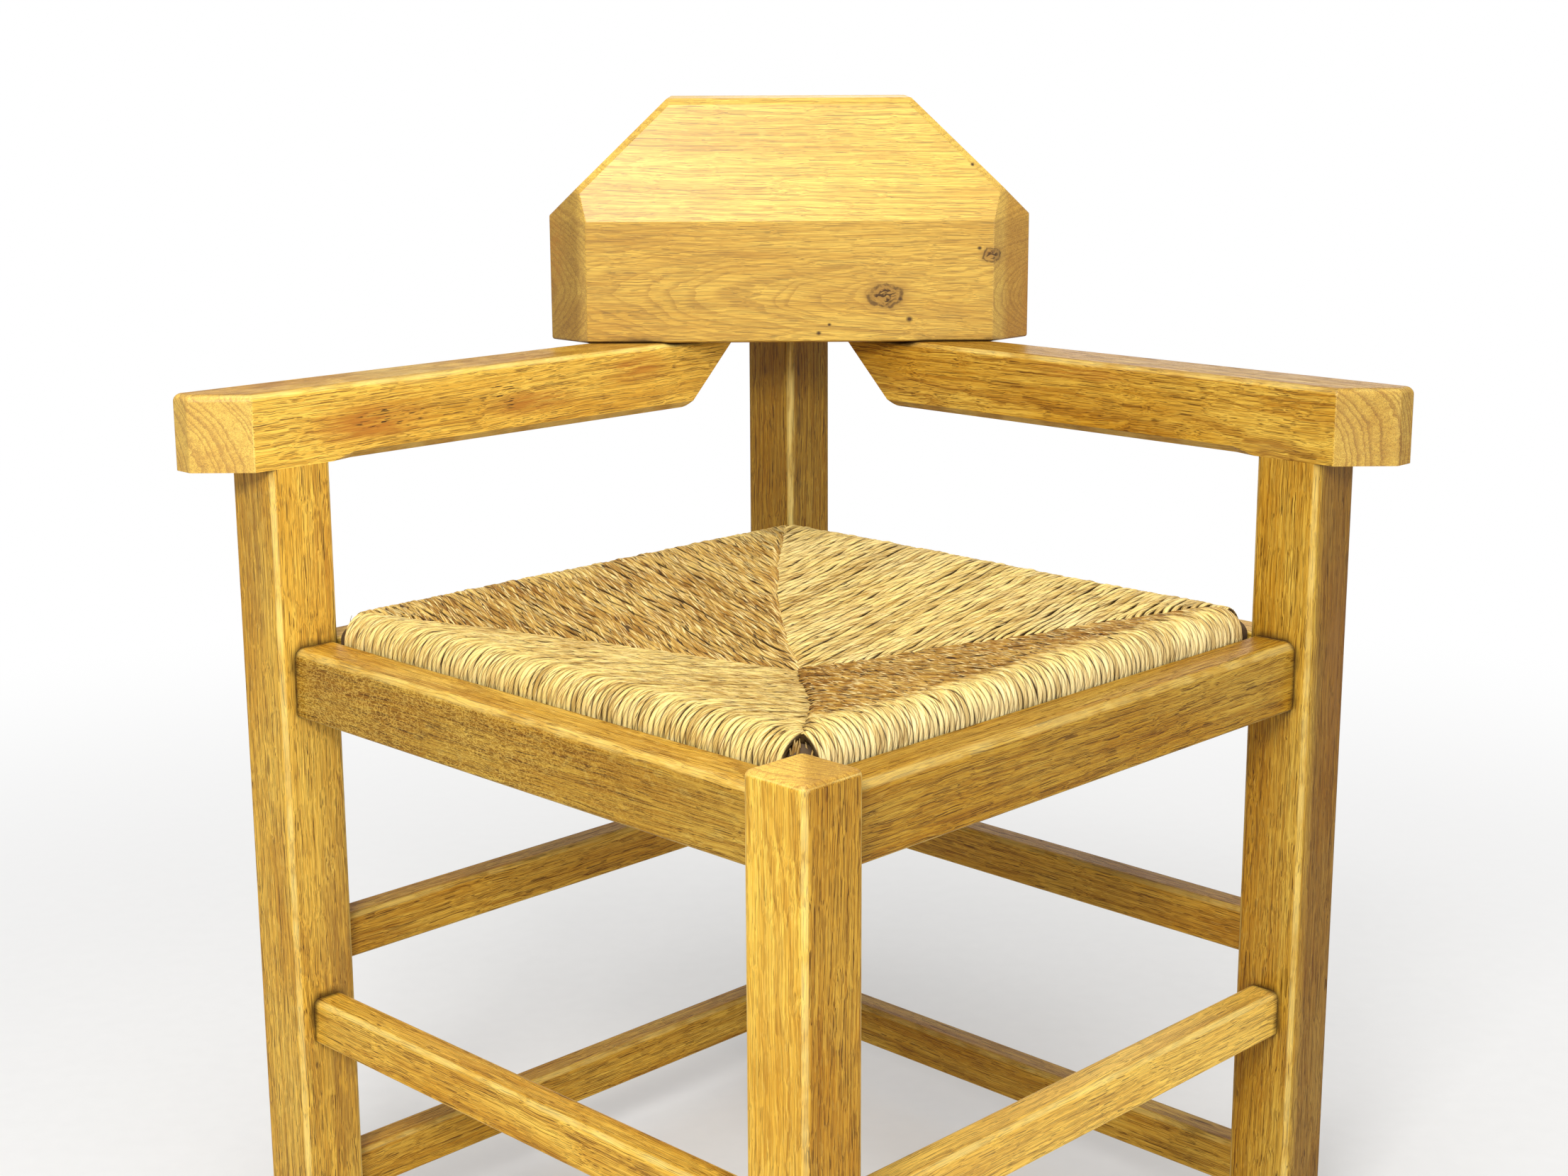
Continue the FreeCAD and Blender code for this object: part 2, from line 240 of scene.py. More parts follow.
oak = bpy.data.node_groups.new("oak_grain", "ShaderNodeTree")
oak.interface.new_socket("Grain", in_out="INPUT", socket_type="NodeSocketVector")
for name in ("Bulge", "Width", "Bands", "Warmth", "Rays", "Pores", "Cracks"):
    oak.interface.new_socket(name, in_out="INPUT", socket_type="NodeSocketFloat")
oak.interface.new_socket("Colour", in_out="OUTPUT", socket_type="NodeSocketColor")
for name in ("Roughness", "Height"):
    oak.interface.new_socket(name, in_out="OUTPUT", socket_type="NodeSocketFloat")
wood = Recipe(oak)
given = oak.nodes.new("NodeGroupInput").outputs
result = oak.nodes.new("NodeGroupOutput").inputs


def push(vector, stretch, reach):
    """A sideways push from a noise, at most about half the reach in millimetres."""
    swing = wood.vector("SUBTRACT", wood.streaks(vector, stretch, out=1), (0.5, 0.5, 0.5))
    return wood.vector("MULTIPLY", swing, (0.0, reach, reach))


bent = wood.vector("ADD", given["Grain"], push(given["Grain"], SLOW_BEND, 11.0))
grown = wood.vector("ADD", bent, push(given["Grain"], WAVER, 2.2))
radius = wood.math("ADD", wood.length(wood.vector("MULTIPLY", grown, (0.0, 1.0, 1.0))), given["Bulge"])
ragged = wood.math("MULTIPLY_ADD", wood.streaks(grown, RAGGED_EDGE), 2.2, -1.1)
years = wood.node("TexNoise", None, wood.times(radius, 0.075), 1.0, 1.0, NOISE_ROUGHNESS,
                  noise_dimensions="1D")
ring = wood.math("DIVIDE", wood.math("ADD", radius, ragged), given["Width"])
ring = wood.math("FRACT", wood.math("MULTIPLY_ADD", years, 4.5, ring))
early = wood.math("ADD", wood.step(ring, 0.03, 0.50, 1.0, 0.0), wood.step(ring, 0.97, 1.0))
print("rings:", len(oak.nodes), "nodes")

# %% [markdown]
# The early wood is full of coarse pores, which hold the dark of the finish. On a flat face each pore is
# a thin dash, one or two centimetres long. A cut at a level gives the dashes: where the noise is lower
# than the level there is a pore, and the level is easier to pass in the early wood and where pores
# crowd. Finer and fainter ones lie between them. Drying leaves long cracks, nearly black under the
# polish. Rays are thin sheets that stand across the rings, so their noise is quick in the angle round
# the pith line and slow in the other two directions, and they show as short flakes.

# %% Pores, cracks and rays
CROWDING, COARSE_PORES, FINE_PORES = (0.011, 0.16), (0.021, 2.6), (0.038, 3.9)
CRACKED_PLACES, LONG_CRACKS = (0.012, 0.045), (0.016, 1.5)

crowd = wood.math("MULTIPLY_ADD", wood.streaks(grown, CROWDING), 0.12, -0.06)
coarse = wood.math("MULTIPLY_ADD", early, -0.035, wood.streaks(grown, COARSE_PORES, 0.6))
coarse = wood.step(wood.math("ADD", crowd, coarse), 0.395, 0.350)
fine = wood.math("MULTIPLY_ADD", early, -0.04, wood.streaks(grown, FINE_PORES, 0.6))
fine = wood.times(wood.step(fine, 0.41, 0.35), 0.6)
pores = wood.times(wood.math("MAXIMUM", coarse, fine), given["Pores"])

cracked = wood.times(wood.step(wood.streaks(grown, CRACKED_PLACES), 0.40, 0.60), given["Cracks"])
cracks = wood.times(wood.step(wood.streaks(grown, LONG_CRACKS, 1.0), 0.295, 0.25), cracked)

x, y, z = wood.node("SeparateXYZ", grown).node.outputs
angle = wood.math("ARCTAN2", z, y)
sheets = wood.node("CombineXYZ", wood.times(x, 0.11), wood.times(angle, 55.0), wood.times(radius, 0.10))
rays = wood.times(wood.step(wood.noise(sheets, detail=1.0), 0.60, 0.68), given["Rays"])
print("with pores, cracks and rays:", len(oak.nodes), "nodes")

# %% [markdown]
# Colour comes in layers. A broad noise lets it drift from straw to amber. The early wood, long streaks
# and single fibres tint it, and then the flakes, pores and cracks are laid over it. Pores and cracks are
# also dips in the height that the bump reads, and open pores are duller than the polished wood.

# %% Colour of the oak
DRIFT, CLOUD, STREAK, FIBRE = (0.006, 0.03), (0.022, 0.11), (0.007, 0.42), (0.022, 1.5)
EARLY_SHADE, STREAK_SHADE = paint(0.70, 0.57, 0.38), paint(0.84, 0.77, 0.64)
FIBRE_SHADE = paint(0.80, 0.70, 0.52)

cloud = wood.streaks(grown, CLOUD)
fibre = wood.streaks(grown, FIBRE)
warm = wood.math("ADD", wood.streaks(grown, DRIFT, 3.0), given["Warmth"])
warm = wood.math("ADD", warm, wood.times(cloud, 0.16))
ground = wood.mix(wood.step(warm, 0.33, 0.89), STRAW, AMBER)
ground = wood.tint(ground, EARLY_SHADE, wood.times(early, given["Bands"]))
ground = wood.tint(ground, STREAK_SHADE, wood.step(wood.streaks(grown, STREAK), 0.62, 0.34))
ground = wood.tint(ground, FIBRE_SHADE, wood.step(fibre, 0.58, 0.38))
ground = wood.lay(ground, RAY, wood.times(rays, 0.5))
ground = wood.lay(ground, PORE, wood.times(pores, 0.84))
ground = wood.lay(ground, CRACK, wood.times(cracks, 0.90))
dull = wood.math("ADD", wood.step(cloud, 0.2, 0.8, 0.30, 0.40), wood.times(pores, 0.2))
raised = wood.math("MULTIPLY_ADD", fibre, 0.35, wood.times(rays, 0.08))
wood.give(result["Colour"], ground)
wood.give(result["Roughness"], dull)
wood.give(result["Height"], wood.math("SUBTRACT", raised, wood.math("MAXIMUM", pores, cracks)))
print("whole oak recipe:", len(oak.nodes), "nodes")

# %% [markdown]
# Each beam was cut from its own place in a log, so each gets its own pith line: a direction, which is
# the beam's length turned by a degree or two, and a point in millimetres that the line goes through. The
# Mapping node in its texture mode turns a place on the chair into grain coordinates. A shift along the
# line moves the pattern, so that no two beams look alike.

# %% Grain coordinates
ACROSS, ALONG = Vector((-1, 1, 0)).normalized(), Vector((1, 1, 0)).normalized()
UP = Vector((0, 0, 1))


def grain_frame(recipe, direction, pith, shift):
    pith_line = Vector(direction).normalized()
    start = (Vector(pith) - pith_line * shift) * MM
    place = recipe.node("TexCoord", out=3)
    turn = pith_line.to_track_quat("X", "Z").to_euler()
    grain = recipe.node("Mapping", place, start, turn, (MM, MM, MM), vector_type="TEXTURE")
    return grain, place


print("the rails run along", [round(value, 3) for value in ALONG])
print("and along", [round(value, 3) for value in ACROSS])

# %% [markdown]
# Marks are put where the photograph shows them. A spot is a soft ball around a centre, stretched to a
# reach of its own on each axis, both in millimetres. It serves for stains, dots and the places where the
# rings bulge.
#
# A knot is a branch cut across. Round a torn dark heart runs a broken dark line, and the wood outside it
# is brown. A wobble of the place keeps all of it from being a perfect oval.

# %% Spots and knots
ORANGE, BROWN = paint(0.46, 0.165, 0.022), paint(0.26, 0.125, 0.030)
DARK, GRIME_AND_SHADE = paint(0.070, 0.034, 0.012), paint(0.050, 0.023, 0.007)


def in_metres(millimetres):
    return tuple(value * MM for value in millimetres)


def spot(recipe, place, centre, reach, hard=0.2):
    away = recipe.vector("SUBTRACT", place, in_metres(centre))
    return recipe.step(recipe.length(recipe.vector("DIVIDE", away, in_metres(reach))), 1.0, hard)


def knot(recipe, place, colour, centre, reach):
    wobble = recipe.vector("SUBTRACT", recipe.noise(place, 160.0, 2.0, out=1), (0.5, 0.5, 0.5))
    near = recipe.vector("MULTIPLY_ADD", wobble, (0.006, 0.0, 0.006), place)
    near = recipe.vector("SUBTRACT", near, in_metres(centre))
    away = recipe.length(recipe.vector("DIVIDE", near, in_metres(reach)))
    colour = recipe.lay(colour, BROWN, recipe.step(away, 1.9, 0.6, 0.0, 0.62))
    rim = recipe.step(recipe.math("ABSOLUTE", recipe.math("SUBTRACT", away, 0.95)), 0.20, 0.05)
    broken = recipe.step(recipe.noise(place, 260.0, 2.0), 0.36, 0.58, 0.15, 0.75)
    colour = recipe.lay(colour, DARK, recipe.times(rim, broken))
    torn = recipe.noise(recipe.vector("MULTIPLY", near, (150.0, 150.0, 420.0)), detail=2.5)
    heart = recipe.times(recipe.step(away, 0.80, 0.50), recipe.step(torn, 0.54, 0.46))
    return recipe.lay(colour, CRACK, recipe.times(heart, 0.9))


print("a spot 10 mm wide is", in_metres((10, 10, 10)), "in metres")

# %% [markdown]
# What is special about a beam is kept in one record. Whatever a beam doesn't say is as in the list
# below. The record also holds what several layers need: the grain coordinates, the place on the chair,
# which way the surface faces, an uneven noise for wear, dirt and painted light, and where the beam is
# cut across. A face is an end when its normal points along the beam.

# %% The record of one beam
USUAL_BEAM = dict(
    shift=0.0,     # how far the pattern is moved along the pith line, in millimetres
    width=4.6,     # wood grown in a year, in millimetres
    warmth=0.0,    # added to the drift towards amber
    tone=1.0,      # how light the whole beam is
    pale=0.0,      # share of pale wood laid over it
    bands=0.5,     # how dark the early wood is
    rays=0.35,     # how plain the flakes are
    pores=1.0,     # how plain the pores are
    cracks=0.6,    # how plain the cracks are
    ends=1.0,      # how much a cut end differs from the sides
    figure=0.0,    # how plain the crawling figure is
    handled=0.0,   # how much the top is darkened: dulled by hands, and painted shade
    arris=1.0,     # how pale the rounded edges are: rubbed polish, and a painted highlight
    wax=0.08,      # weight of the coat of polish
    quiet=None,    # axis, start, end, what is left: pores and cracks fade from start to end
    tongue=None,   # centre, reach, slope, start: the rings are drawn out into tongues
    bulges=(),     # centre, reach, height: the rings are pushed aside
    knots=(),      # centre, reach
    shades=(),     # axis, start, end, shade: tinted from start to end and beyond
    stains=(),     # centre, reach, colour, share
    cuts=(),       # centre, reach: dark dashes
    pins=(),       # centre, size: dark dots
)


def new_beam(name, direction, pith, own):
    beam = SimpleNamespace(**{**USUAL_BEAM, **own})
    beam.material, beam.recipe, beam.shader = new_material(name)
    recipe = beam.recipe
    beam.grain, beam.place = grain_frame(recipe, direction, pith, beam.shift)
    beam.normal = recipe.node("NewGeometry", out=1)
    beam.facing_up = recipe.part(beam.normal, 2)
    beam.uneven = recipe.noise(beam.place, 42.0, 3.0)
    end_on = recipe.dot(beam.normal, Vector(direction).normalized())
    beam.cut = recipe.times(recipe.step(recipe.math("ABSOLUTE", end_on), 0.45, 0.66), beam.ends)
    return beam


print("a beam is told by", len(USUAL_BEAM), "values")

# %% [markdown]
# Rings aren't perfect cylinders. Near a knot they bulge, and on the backrest they are drawn out into
# tongues: from one end of the plank on, the ring radius changes steadily in a band along the middle, so
# the rings come to the surface one after the other. Both are added to the radius before the rings are
# counted.

# %% Bulges and tongues
TONGUE_WANDER = (16.0, 10.0, 26.0)


def ring_bulge(beam):
    recipe, bulge = beam.recipe, 0.0
    for centre, reach, height in beam.bulges:
        bulge = recipe.math("MULTIPLY_ADD", spot(recipe, beam.place, centre, reach, 0.0), height, bulge)
    if beam.tongue:
        centre, reach, slope, start = beam.tongue
        run = recipe.math("SUBTRACT", recipe.part(beam.place, 0), start * MM)
        run = recipe.math("MAXIMUM", run, 0.0)
        wander = recipe.noise(recipe.vector("MULTIPLY", beam.place, TONGUE_WANDER), detail=2.0)
        wander = recipe.math("MULTIPLY_ADD", wander, 16.0, -8.0)
        tilt = recipe.math("MULTIPLY_ADD", run, slope / MM, wander)
        band = spot(recipe, beam.place, centre, reach, 0.0)
        bulge = recipe.math("MULTIPLY_ADD", tilt, band, bulge)
    return bulge


print("tongues wander with a noise of", TONGUE_WANDER, "changes in a metre")

# %% [markdown]
# The first layer is the wood as it was sawn. A cut end shows its rings strongly and its pores weakly,
# because it cuts straight through both. Ends that stand upright are a little darker, because they drink
# more of the finish. Then the whole beam gets its tone, and shades tint the part of it that lies beyond
# a place, such as one side of the front post.

# %% Wood as it was sawn
END_CREAM, END_SHADE = paint(0.93, 0.78, 0.42), paint(0.84, 0.84, 0.86)


def sawn_wood(beam):
    recipe, cracks = beam.recipe, beam.cracks
    bands = recipe.math("MULTIPLY_ADD", beam.cut, 0.45, beam.bands)
    pores = recipe.times(recipe.math("MULTIPLY_ADD", beam.cut, -0.45, 1.0), beam.pores)
    if beam.quiet:
        axis, start, end, left = beam.quiet
        loud = recipe.step(recipe.part(beam.place, axis), start * MM, end * MM, 1.0, left)
        pores = recipe.times(pores, loud)
        cracks = recipe.times(loud, cracks)
    sawn = recipe.node("Group", node_tree=oak).node
    for socket, value in (("Grain", beam.grain), ("Bulge", ring_bulge(beam)), ("Width", beam.width),
                          ("Bands", bands), ("Warmth", beam.warmth), ("Rays", beam.rays),
                          ("Pores", pores), ("Cracks", cracks)):
        recipe.give(sawn.inputs[socket], value)
    return sawn.outputs


def ends_and_tone(beam, colour):
    recipe = beam.recipe
    colour = recipe.lay(colour, END_CREAM, recipe.times(beam.cut, 0.10))
    upright = recipe.times(beam.cut, recipe.step(beam.facing_up, 0.8, 0.3))
    colour = recipe.tint(colour, END_SHADE, upright)
    colour = recipe.tint(colour, paint(beam.tone, beam.tone, beam.tone))
    if beam.pale:
        colour = recipe.lay(colour, PALE, beam.pale)
    for axis, start, end, shade in beam.shades:
        beyond = recipe.step(recipe.part(beam.place, axis), start * MM, end * MM)
        colour = recipe.tint(colour, paint(*shade), beyond)
    return colour


print("first layer: rings, ends and tone")

# %% [markdown]
# The outside of the front left rail shows rays cut almost flat. They make a crawling figure of short
# worms, dense near the left post and fading towards the front. The worms are where a noise is close to
# its middle value, which gives lines instead of blots, and a second noise turns them now and then.

# %% Crawling figure
FIGURE_SHADE = paint(0.72, 0.63, 0.45)
SLANT, WORMS, FIGURED_PLACES = (0.012, 0.03), (0.26, 0.64), (0.010, 0.03)
FIGURE_FULL, FIGURE_FADED = -0.20, -0.06


def crawling_figure(beam, colour):
    if not beam.figure:
        return colour
    recipe = beam.recipe
    slant = recipe.streaks(beam.grain, SLANT, 1.0, out=1)
    slant = recipe.vector("MULTIPLY_ADD", slant, (0.0, 26.0, 26.0), beam.grain)
    worms = recipe.math("SUBTRACT", recipe.streaks(slant, WORMS, 1.0, swirl=0.25), 0.5)
    worms = recipe.step(recipe.math("ABSOLUTE", worms), 0.084, 0.028)
    where = recipe.step(recipe.streaks(beam.grain, FIGURED_PLACES), 0.30, 0.50, 0.30, 1.0)
    where = recipe.times(where, recipe.step(beam.facing_up, 0.7, 0.2))
    fading = recipe.step(recipe.part(beam.place, 0), FIGURE_FULL, FIGURE_FADED, 1.0, 0.25)
    where = recipe.times(where, fading)
    between = recipe.tint(colour, FIGURE_SHADE)
    figured = recipe.mix(worms, between, recipe.mix(0.34, colour, RAY))
    return recipe.mix(recipe.times(where, beam.figure), colour, figured)


print("the figure fades from x", FIGURE_FULL, "to", FIGURE_FADED)

# %% [markdown]
# Then come the marks. A stain has soaked in along the fibres, so its ball is broken up by streaks. Cuts
# are short dark dashes in a soft spot, and pins are the dots of tiny twigs.

# %% Knots, stains, cuts and pins
SOAKED, DASHES = (0.035, 0.40), (0.095, 1.15)


def marks(beam, colour):
    recipe, place = beam.recipe, beam.place
    for centre, reach in beam.knots:
        colour = knot(recipe, place, colour, centre, reach)
    soaked = recipe.step(recipe.streaks(beam.grain, SOAKED, 3.0), 0.36, 0.58, 0.25, 1.0)
    for centre, reach, stain, share in beam.stains:
        mask = recipe.times(spot(recipe, place, centre, reach), share)
        colour = recipe.lay(colour, stain, recipe.times(mask, soaked))
    dashes = recipe.step(recipe.streaks(beam.grain, DASHES, 1.0), 0.40, 0.35)
    for centre, reach in beam.cuts:
        colour = recipe.lay(colour, DARK, recipe.times(spot(recipe, place, centre, reach, 0.7), dashes))
    for centre, size in beam.pins:
        colour = recipe.lay(colour, DARK, spot(recipe, place, centre, (size, 8, size * 0.8)))
    return colour


print("stains soak", round(SOAKED[1] / SOAKED[0]), "times further along the grain than across it")

# %% [markdown]
# The last layers are use and painted light. Undersides are tinted browner, which is painted shade. The
# tops of the arms are darkened, partly as the dulling of hands and partly as painted shade. Rounded edges
# are laid pale, partly as polish rubbed pale and partly as a painted highlight: a rounded edge is found by
# its normal, which points along none of the chair's three directions. Where two pieces meet, the wood is
# darkened, partly as dirt in the seam and partly as painted shade in the corner. The Ambient Occlusion
# node looks six millimetres around each point, and a noise makes the dark seam thick in some places and
# thin in others. Both follow the shape, so no edge or seam has to be listed. The backrest leaves the pale
# edges out, because its leaning faces would count as edges.

# %% Wear, dirt and painted light
PAINTED_UNDERSIDE_SHADE, HANDLED_AND_PAINTED_SHADE = paint(0.62, 0.54, 0.46), paint(0.60, 0.53, 0.42)
SEAM_REACH = 0.006


def handling_and_painted_shade(beam, colour):
    recipe = beam.recipe
    # painted shade: faces that look down are tinted browner
    colour = recipe.tint(colour, PAINTED_UNDERSIDE_SHADE, recipe.step(beam.facing_up, -0.25, -0.80))
    # the up-facing tops are darkened, partly as hand wear and partly as painted shade
    if beam.handled:
        worn_and_painted = recipe.times(recipe.step(beam.facing_up, 0.6, 0.95),
                            recipe.step(beam.uneven, 0.30, 0.60, 0.55, 1.0))
        colour = recipe.tint(colour, HANDLED_AND_PAINTED_SHADE, recipe.times(worn_and_painted, beam.handled))
    return colour


def rubbed_and_highlit_edges(beam, colour):
    if not beam.arris:
        return colour
    recipe, square = beam.recipe, 0.0
    for side in (ALONG, ACROSS, UP):
        square = recipe.math("MAXIMUM", recipe.math("ABSOLUTE", recipe.dot(beam.normal, side)), square)
    # rounded edges are laid pale, partly as rubbed polish and partly as a painted highlight
    rubbed_and_highlit = recipe.times(recipe.step(square, 0.985, 0.86), recipe.math("SUBTRACT", 1.0, beam.cut))
    rubbed_and_highlit = recipe.times(rubbed_and_highlit, recipe.step(beam.uneven, 0.34, 0.62, 0.35, 1.0))
    return recipe.lay(colour, PALE, recipe.times(rubbed_and_highlit, 0.42 * beam.arris * beam.tone))


def seam_dirt_and_shade(beam, colour):
    recipe = beam.recipe
    # darkened where other surfaces are near: dirt in the seams and painted shade in the corners
    corner = recipe.node("AmbientOcclusion", None, SEAM_REACH, out=1, samples=4)
    corner = recipe.math("MULTIPLY_ADD", beam.uneven, 0.50, corner)
    return recipe.lay(colour, GRIME_AND_SHADE, recipe.step(corner, 1.09, 0.80, 0.0, 0.94))


print("seams reach", SEAM_REACH / MM, "mm")

# %% [markdown]
# Now the layers are put on one after the other, and the material goes into the slots of the packed
# node, whose shape stays as it is.

# %% Oak on a beam
LAYERS = (ends_and_tone, crawling_figure, marks, handling_and_painted_shade, rubbed_and_highlit_edges, seam_dirt_and_shade)
PORE_DEPTH = 0.0005
POLISH_ROUGHNESS = 0.34


def oak_material(name, direction, pith, **own):
    beam = new_beam(name, direction, pith, own)
    sawn = sawn_wood(beam)
    colour = sawn["Colour"]
    for layer in LAYERS:
        colour = layer(beam, colour)
    beam.recipe.finish(beam.shader, colour, sawn["Roughness"], sawn["Height"], PORE_DEPTH)
    beam.recipe.wax(beam.shader, beam.wax, POLISH_ROUGHNESS)
    return beam.material


def dress(node, material):
    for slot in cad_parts[node].material_slots:
        slot.material = material


def dress_in_oak(beams):
    for node, cut in beams.items():
        dress(node, oak_material("oak_" + node, **cut))
    print("in oak:", ", ".join(beams))


def beside(centre, along=0.0, across=0.0, up=0.0):
    return tuple(Vector(centre) + ALONG * along + ACROSS * across + UP * up)


print("layers of an oak finish:", 1 + len(LAYERS))

# %% [markdown]
# A post has its pith line behind one face or beside it, which decides which of its faces show tongues
# and which show straight lines. The front post is plain and golden on its left face, and on its right one
# it has open pores and cracks and a darker, browner tint, which is painted shade. The left post is golden
# with orange and brown stains; its lower brown patch, on the right face, is painted shade of the seat, and
# the upper one, on the left face, is partly a brown stain and partly painted shade of the arm. The right
# post is browner, and its right face is darkened as painted shade of the arm, together with a brown
# stain. The back post is the darkest, because its tone is lowered as painted shade of the backrest, and it
# has a pale streak down its front edge.

# %% Oak on the posts
POST_AXIS = 0.32987 / MM

dress_in_oak({
    "post_front": dict(
        direction=(0.012, 0.006, 1), pith=beside((0, -POST_AXIS, 300), along=52, across=8), shift=310,
        warmth=-0.04, rays=0.5, pores=1.1, cracks=1.5, quiet=(0, 2, -5, 0.55),
        # painted shade: the right face is tinted darker
        shades=[(0, -3, 5, (0.69, 0.63, 0.50))]),
    "post_left": dict(
        direction=(-0.010, 0.012, 1), pith=beside((-POST_AXIS, 0, 300), across=66, along=-20), shift=1240,
        pale=0.05, pores=1.15, cracks=1.5,
        stains=[((-316, -16, 585), (24, 30, 30), ORANGE, 0.6),
                # partly a brown stain, partly painted shade of the arm on the left face
                ((-347, -16, 520), (17, 26, 120), BROWN, 0.3),
                ((-300, -16, 500), (16, 30, 60), ORANGE, 0.5),
                # painted shade of the seat on the lower right face
                ((-302, -8, 205), (26, 28, 200), BROWN, 0.58)]),
    "post_right": dict(
        direction=(0.008, -0.010, 1), pith=beside((POST_AXIS, 0, 300), across=58, along=52), shift=2210,
        # painted shade of the arm: the right face is tinted darker
        warmth=0.06, tone=0.72, shades=[(0, 331, 340, (0.55, 0.49, 0.55))],
        # partly a brown stain, partly painted shade on the right face
        stains=[((352, -10, 430), (14, 30, 90), BROWN, 0.55)]),
    "post_back": dict(
        direction=(0.006, 0.008, 1), pith=beside((0, POST_AXIS, 300), across=-40, along=60), shift=3170,
        # the low tone is painted shade of the backrest
        warmth=0.05, tone=0.56,
        stains=[((1.5, 298, 540), (4.5, 9, 260), PALE, 0.55),
                ((7.5, 303, 560), (2.2, 9, 200), DARK, 0.6)]),
})

# %% [markdown]
# The two front rails are darker in the photograph than the front post between them, so their tone is
# lower. The top of the left one is made lighter by a shade with values above one, which is painted light.
# The stretchers at the back have a lower tone than those in front, which is painted shade.

# %% Oak on the rails and stretchers
MIDDLE = 116.6 * 1.41

dress_in_oak({
    "rail_front_left": dict(
        direction=ACROSS, pith=(-MIDDLE, -MIDDLE, 350), shift=200, rays=0.7, tone=0.63, figure=0.8,
        # painted light: the top of the rail is made lighter
        warmth=0.04, shades=[(2, 441, 446, (1.36, 1.42, 1.9))]),
    "rail_front_right": dict(
        direction=ALONG, pith=beside((165, -165, 425), across=62, up=-38), shift=1500, warmth=0.12,
        tone=0.62, cracks=0.9),
    "rail_back_left": dict(
        direction=ALONG, pith=beside((-165, 165, 425), across=-50, up=-60), shift=2500),
    "rail_back_right": dict(
        direction=ACROSS, pith=beside((165, 165, 425), along=70, up=-30), shift=3500),
    "stretcher_front_left": dict(
        direction=ACROSS, pith=beside((-165, -165, 190), along=48, up=-30), shift=4100, warmth=0.02),
    "stretcher_front_right": dict(
        direction=ALONG, pith=beside((165, -165, 190), across=30, up=-44), shift=5200, warmth=-0.06,
        tone=1.02, pale=0.12),
    # the lower tones of the back stretchers are painted shade
    "stretcher_back_left_upper": dict(
        direction=ALONG, pith=beside((-165, 165, 236), across=-44, up=-26), shift=6100, warmth=0.04,
        tone=0.80),
    "stretcher_back_right_upper": dict(
        direction=ACROSS, pith=beside((165, 165, 236), along=36, up=34), shift=7300, warmth=0.06,
        tone=0.76),
    "stretcher_back_left_lower": dict(
        direction=ALONG, pith=beside((-165, 165, 64), across=-52, up=20), shift=8200, warmth=0.04,
        tone=0.84),
    "stretcher_back_right_lower": dict(
        direction=ACROSS, pith=beside((165, 165, 64), along=44, up=-38), shift=9100, warmth=0.06,
        tone=0.80),
})

# %% [markdown]
# The arms have been under hands for years. The left one is stained orange above its post and along its
# inner face, with a few dark dashes, and the right one is browner. Both show the end of the beam at the
# cut corner in front, so the pith line decides the arcs that are seen there.

# %% Oak on the arms
dress_in_oak({
    "arm_left": dict(
        direction=ALONG + UP * 0.02, pith=beside((-235, 95, 590), across=70, up=-34), shift=420,
        warmth=-0.03, tone=1.05, pale=0.06, handled=1.0,
        stains=[((-276, 24, 586), (62, 62, 17), ORANGE, 0.85),
                ((-180, 118, 585), (50, 50, 12), ORANGE, 0.8),
                ((-112, 188, 600), (40, 40, 14), ORANGE, 0.75),
                ((-260, 70, 616), (60, 60, 12), PALE, 0.35)],
        cuts=[((-264, 36, 588), (34, 34, 10)), ((-196, 102, 592), (14, 14, 14))]),
    "arm_right": dict(
        direction=ACROSS + ALONG * 0.03 - UP * 0.01, pith=beside((235, 95, 590), along=-58, up=-22),
        shift=1400, warmth=0.02, tone=0.78, handled=0.6, cracks=0.9, bands=0.8, width=4.4, ends=0.8,
        stains=[((300, -10, 570), (40, 40, 10), BROWN, 0.45),
                ((190, 100, 606), (60, 60, 8), ORANGE, 0.4)]),
})

# %% [markdown]
# The backrest is cut from a thick plank. Its lower face runs along the rings and shows tongues that
# point to the left, round a knot in the lower right and a smaller one near the right edge. The rings
# bulge round a knot, so a soft bump is taken off the ring radius there. The leaning upper face is
# lighter than the lower one, because a shade tints the wood below the fold darker, which is painted
# shade. The bevels at both ends are browner. The block has a heavier polish than the beams.

# %% Oak on the backrest
FACE_Y = 208.97
FOLD_Z = 701.0
knots = [((68.7, FACE_Y, 647.5), (12.5, 30, 8.0)), ((145.5, FACE_Y, 676.1), (6.0, 30, 5.0))]
pins = [((86.2, FACE_Y, 630.5), 3.4), ((79.5, FACE_Y, 644.9), 2.2), ((20.6, FACE_Y, 620.6), 2.6),
        ((28.3, FACE_Y, 626.8), 2.0), ((136.3, FACE_Y, 681.2), 2.4), ((131.1, FACE_Y + 8.6, 740.0), 2.2)]

dress_in_oak({
    "backrest": dict(
        direction=(1, 0.0, -0.02), pith=(0, FACE_Y + 52, 648), shift=900, width=4.2, warmth=-0.08,
        tone=0.93, pale=0.16, bands=0.62, rays=0.3, pores=0.75, cracks=0.2, ends=0.3, arris=0.0, wax=0.14,
        tongue=((0, FACE_Y, 646), (900, 400, 70), -0.20, -176),
        bulges=[(centre, (34, 60, 20), -8.0) for centre, reach in knots], knots=knots, pins=pins,
        # painted shade: the lower face is tinted darker below the fold
        shades=[(2, FOLD_Z + 3, FOLD_Z - 3, (0.84, 0.82, 0.82)),
                (0, -148, -156, (0.66, 0.62, 0.55)),
                (0, 152, 160, (0.84, 0.72, 0.58))],
        stains=[((-172, 214, 680), (12, 60, 60), ORANGE, 0.35),
                ((180, 222, 640), (14, 60, 60), ORANGE, 0.45)]),
})
print("backrest: knots", len(knots), "pins", len(pins))

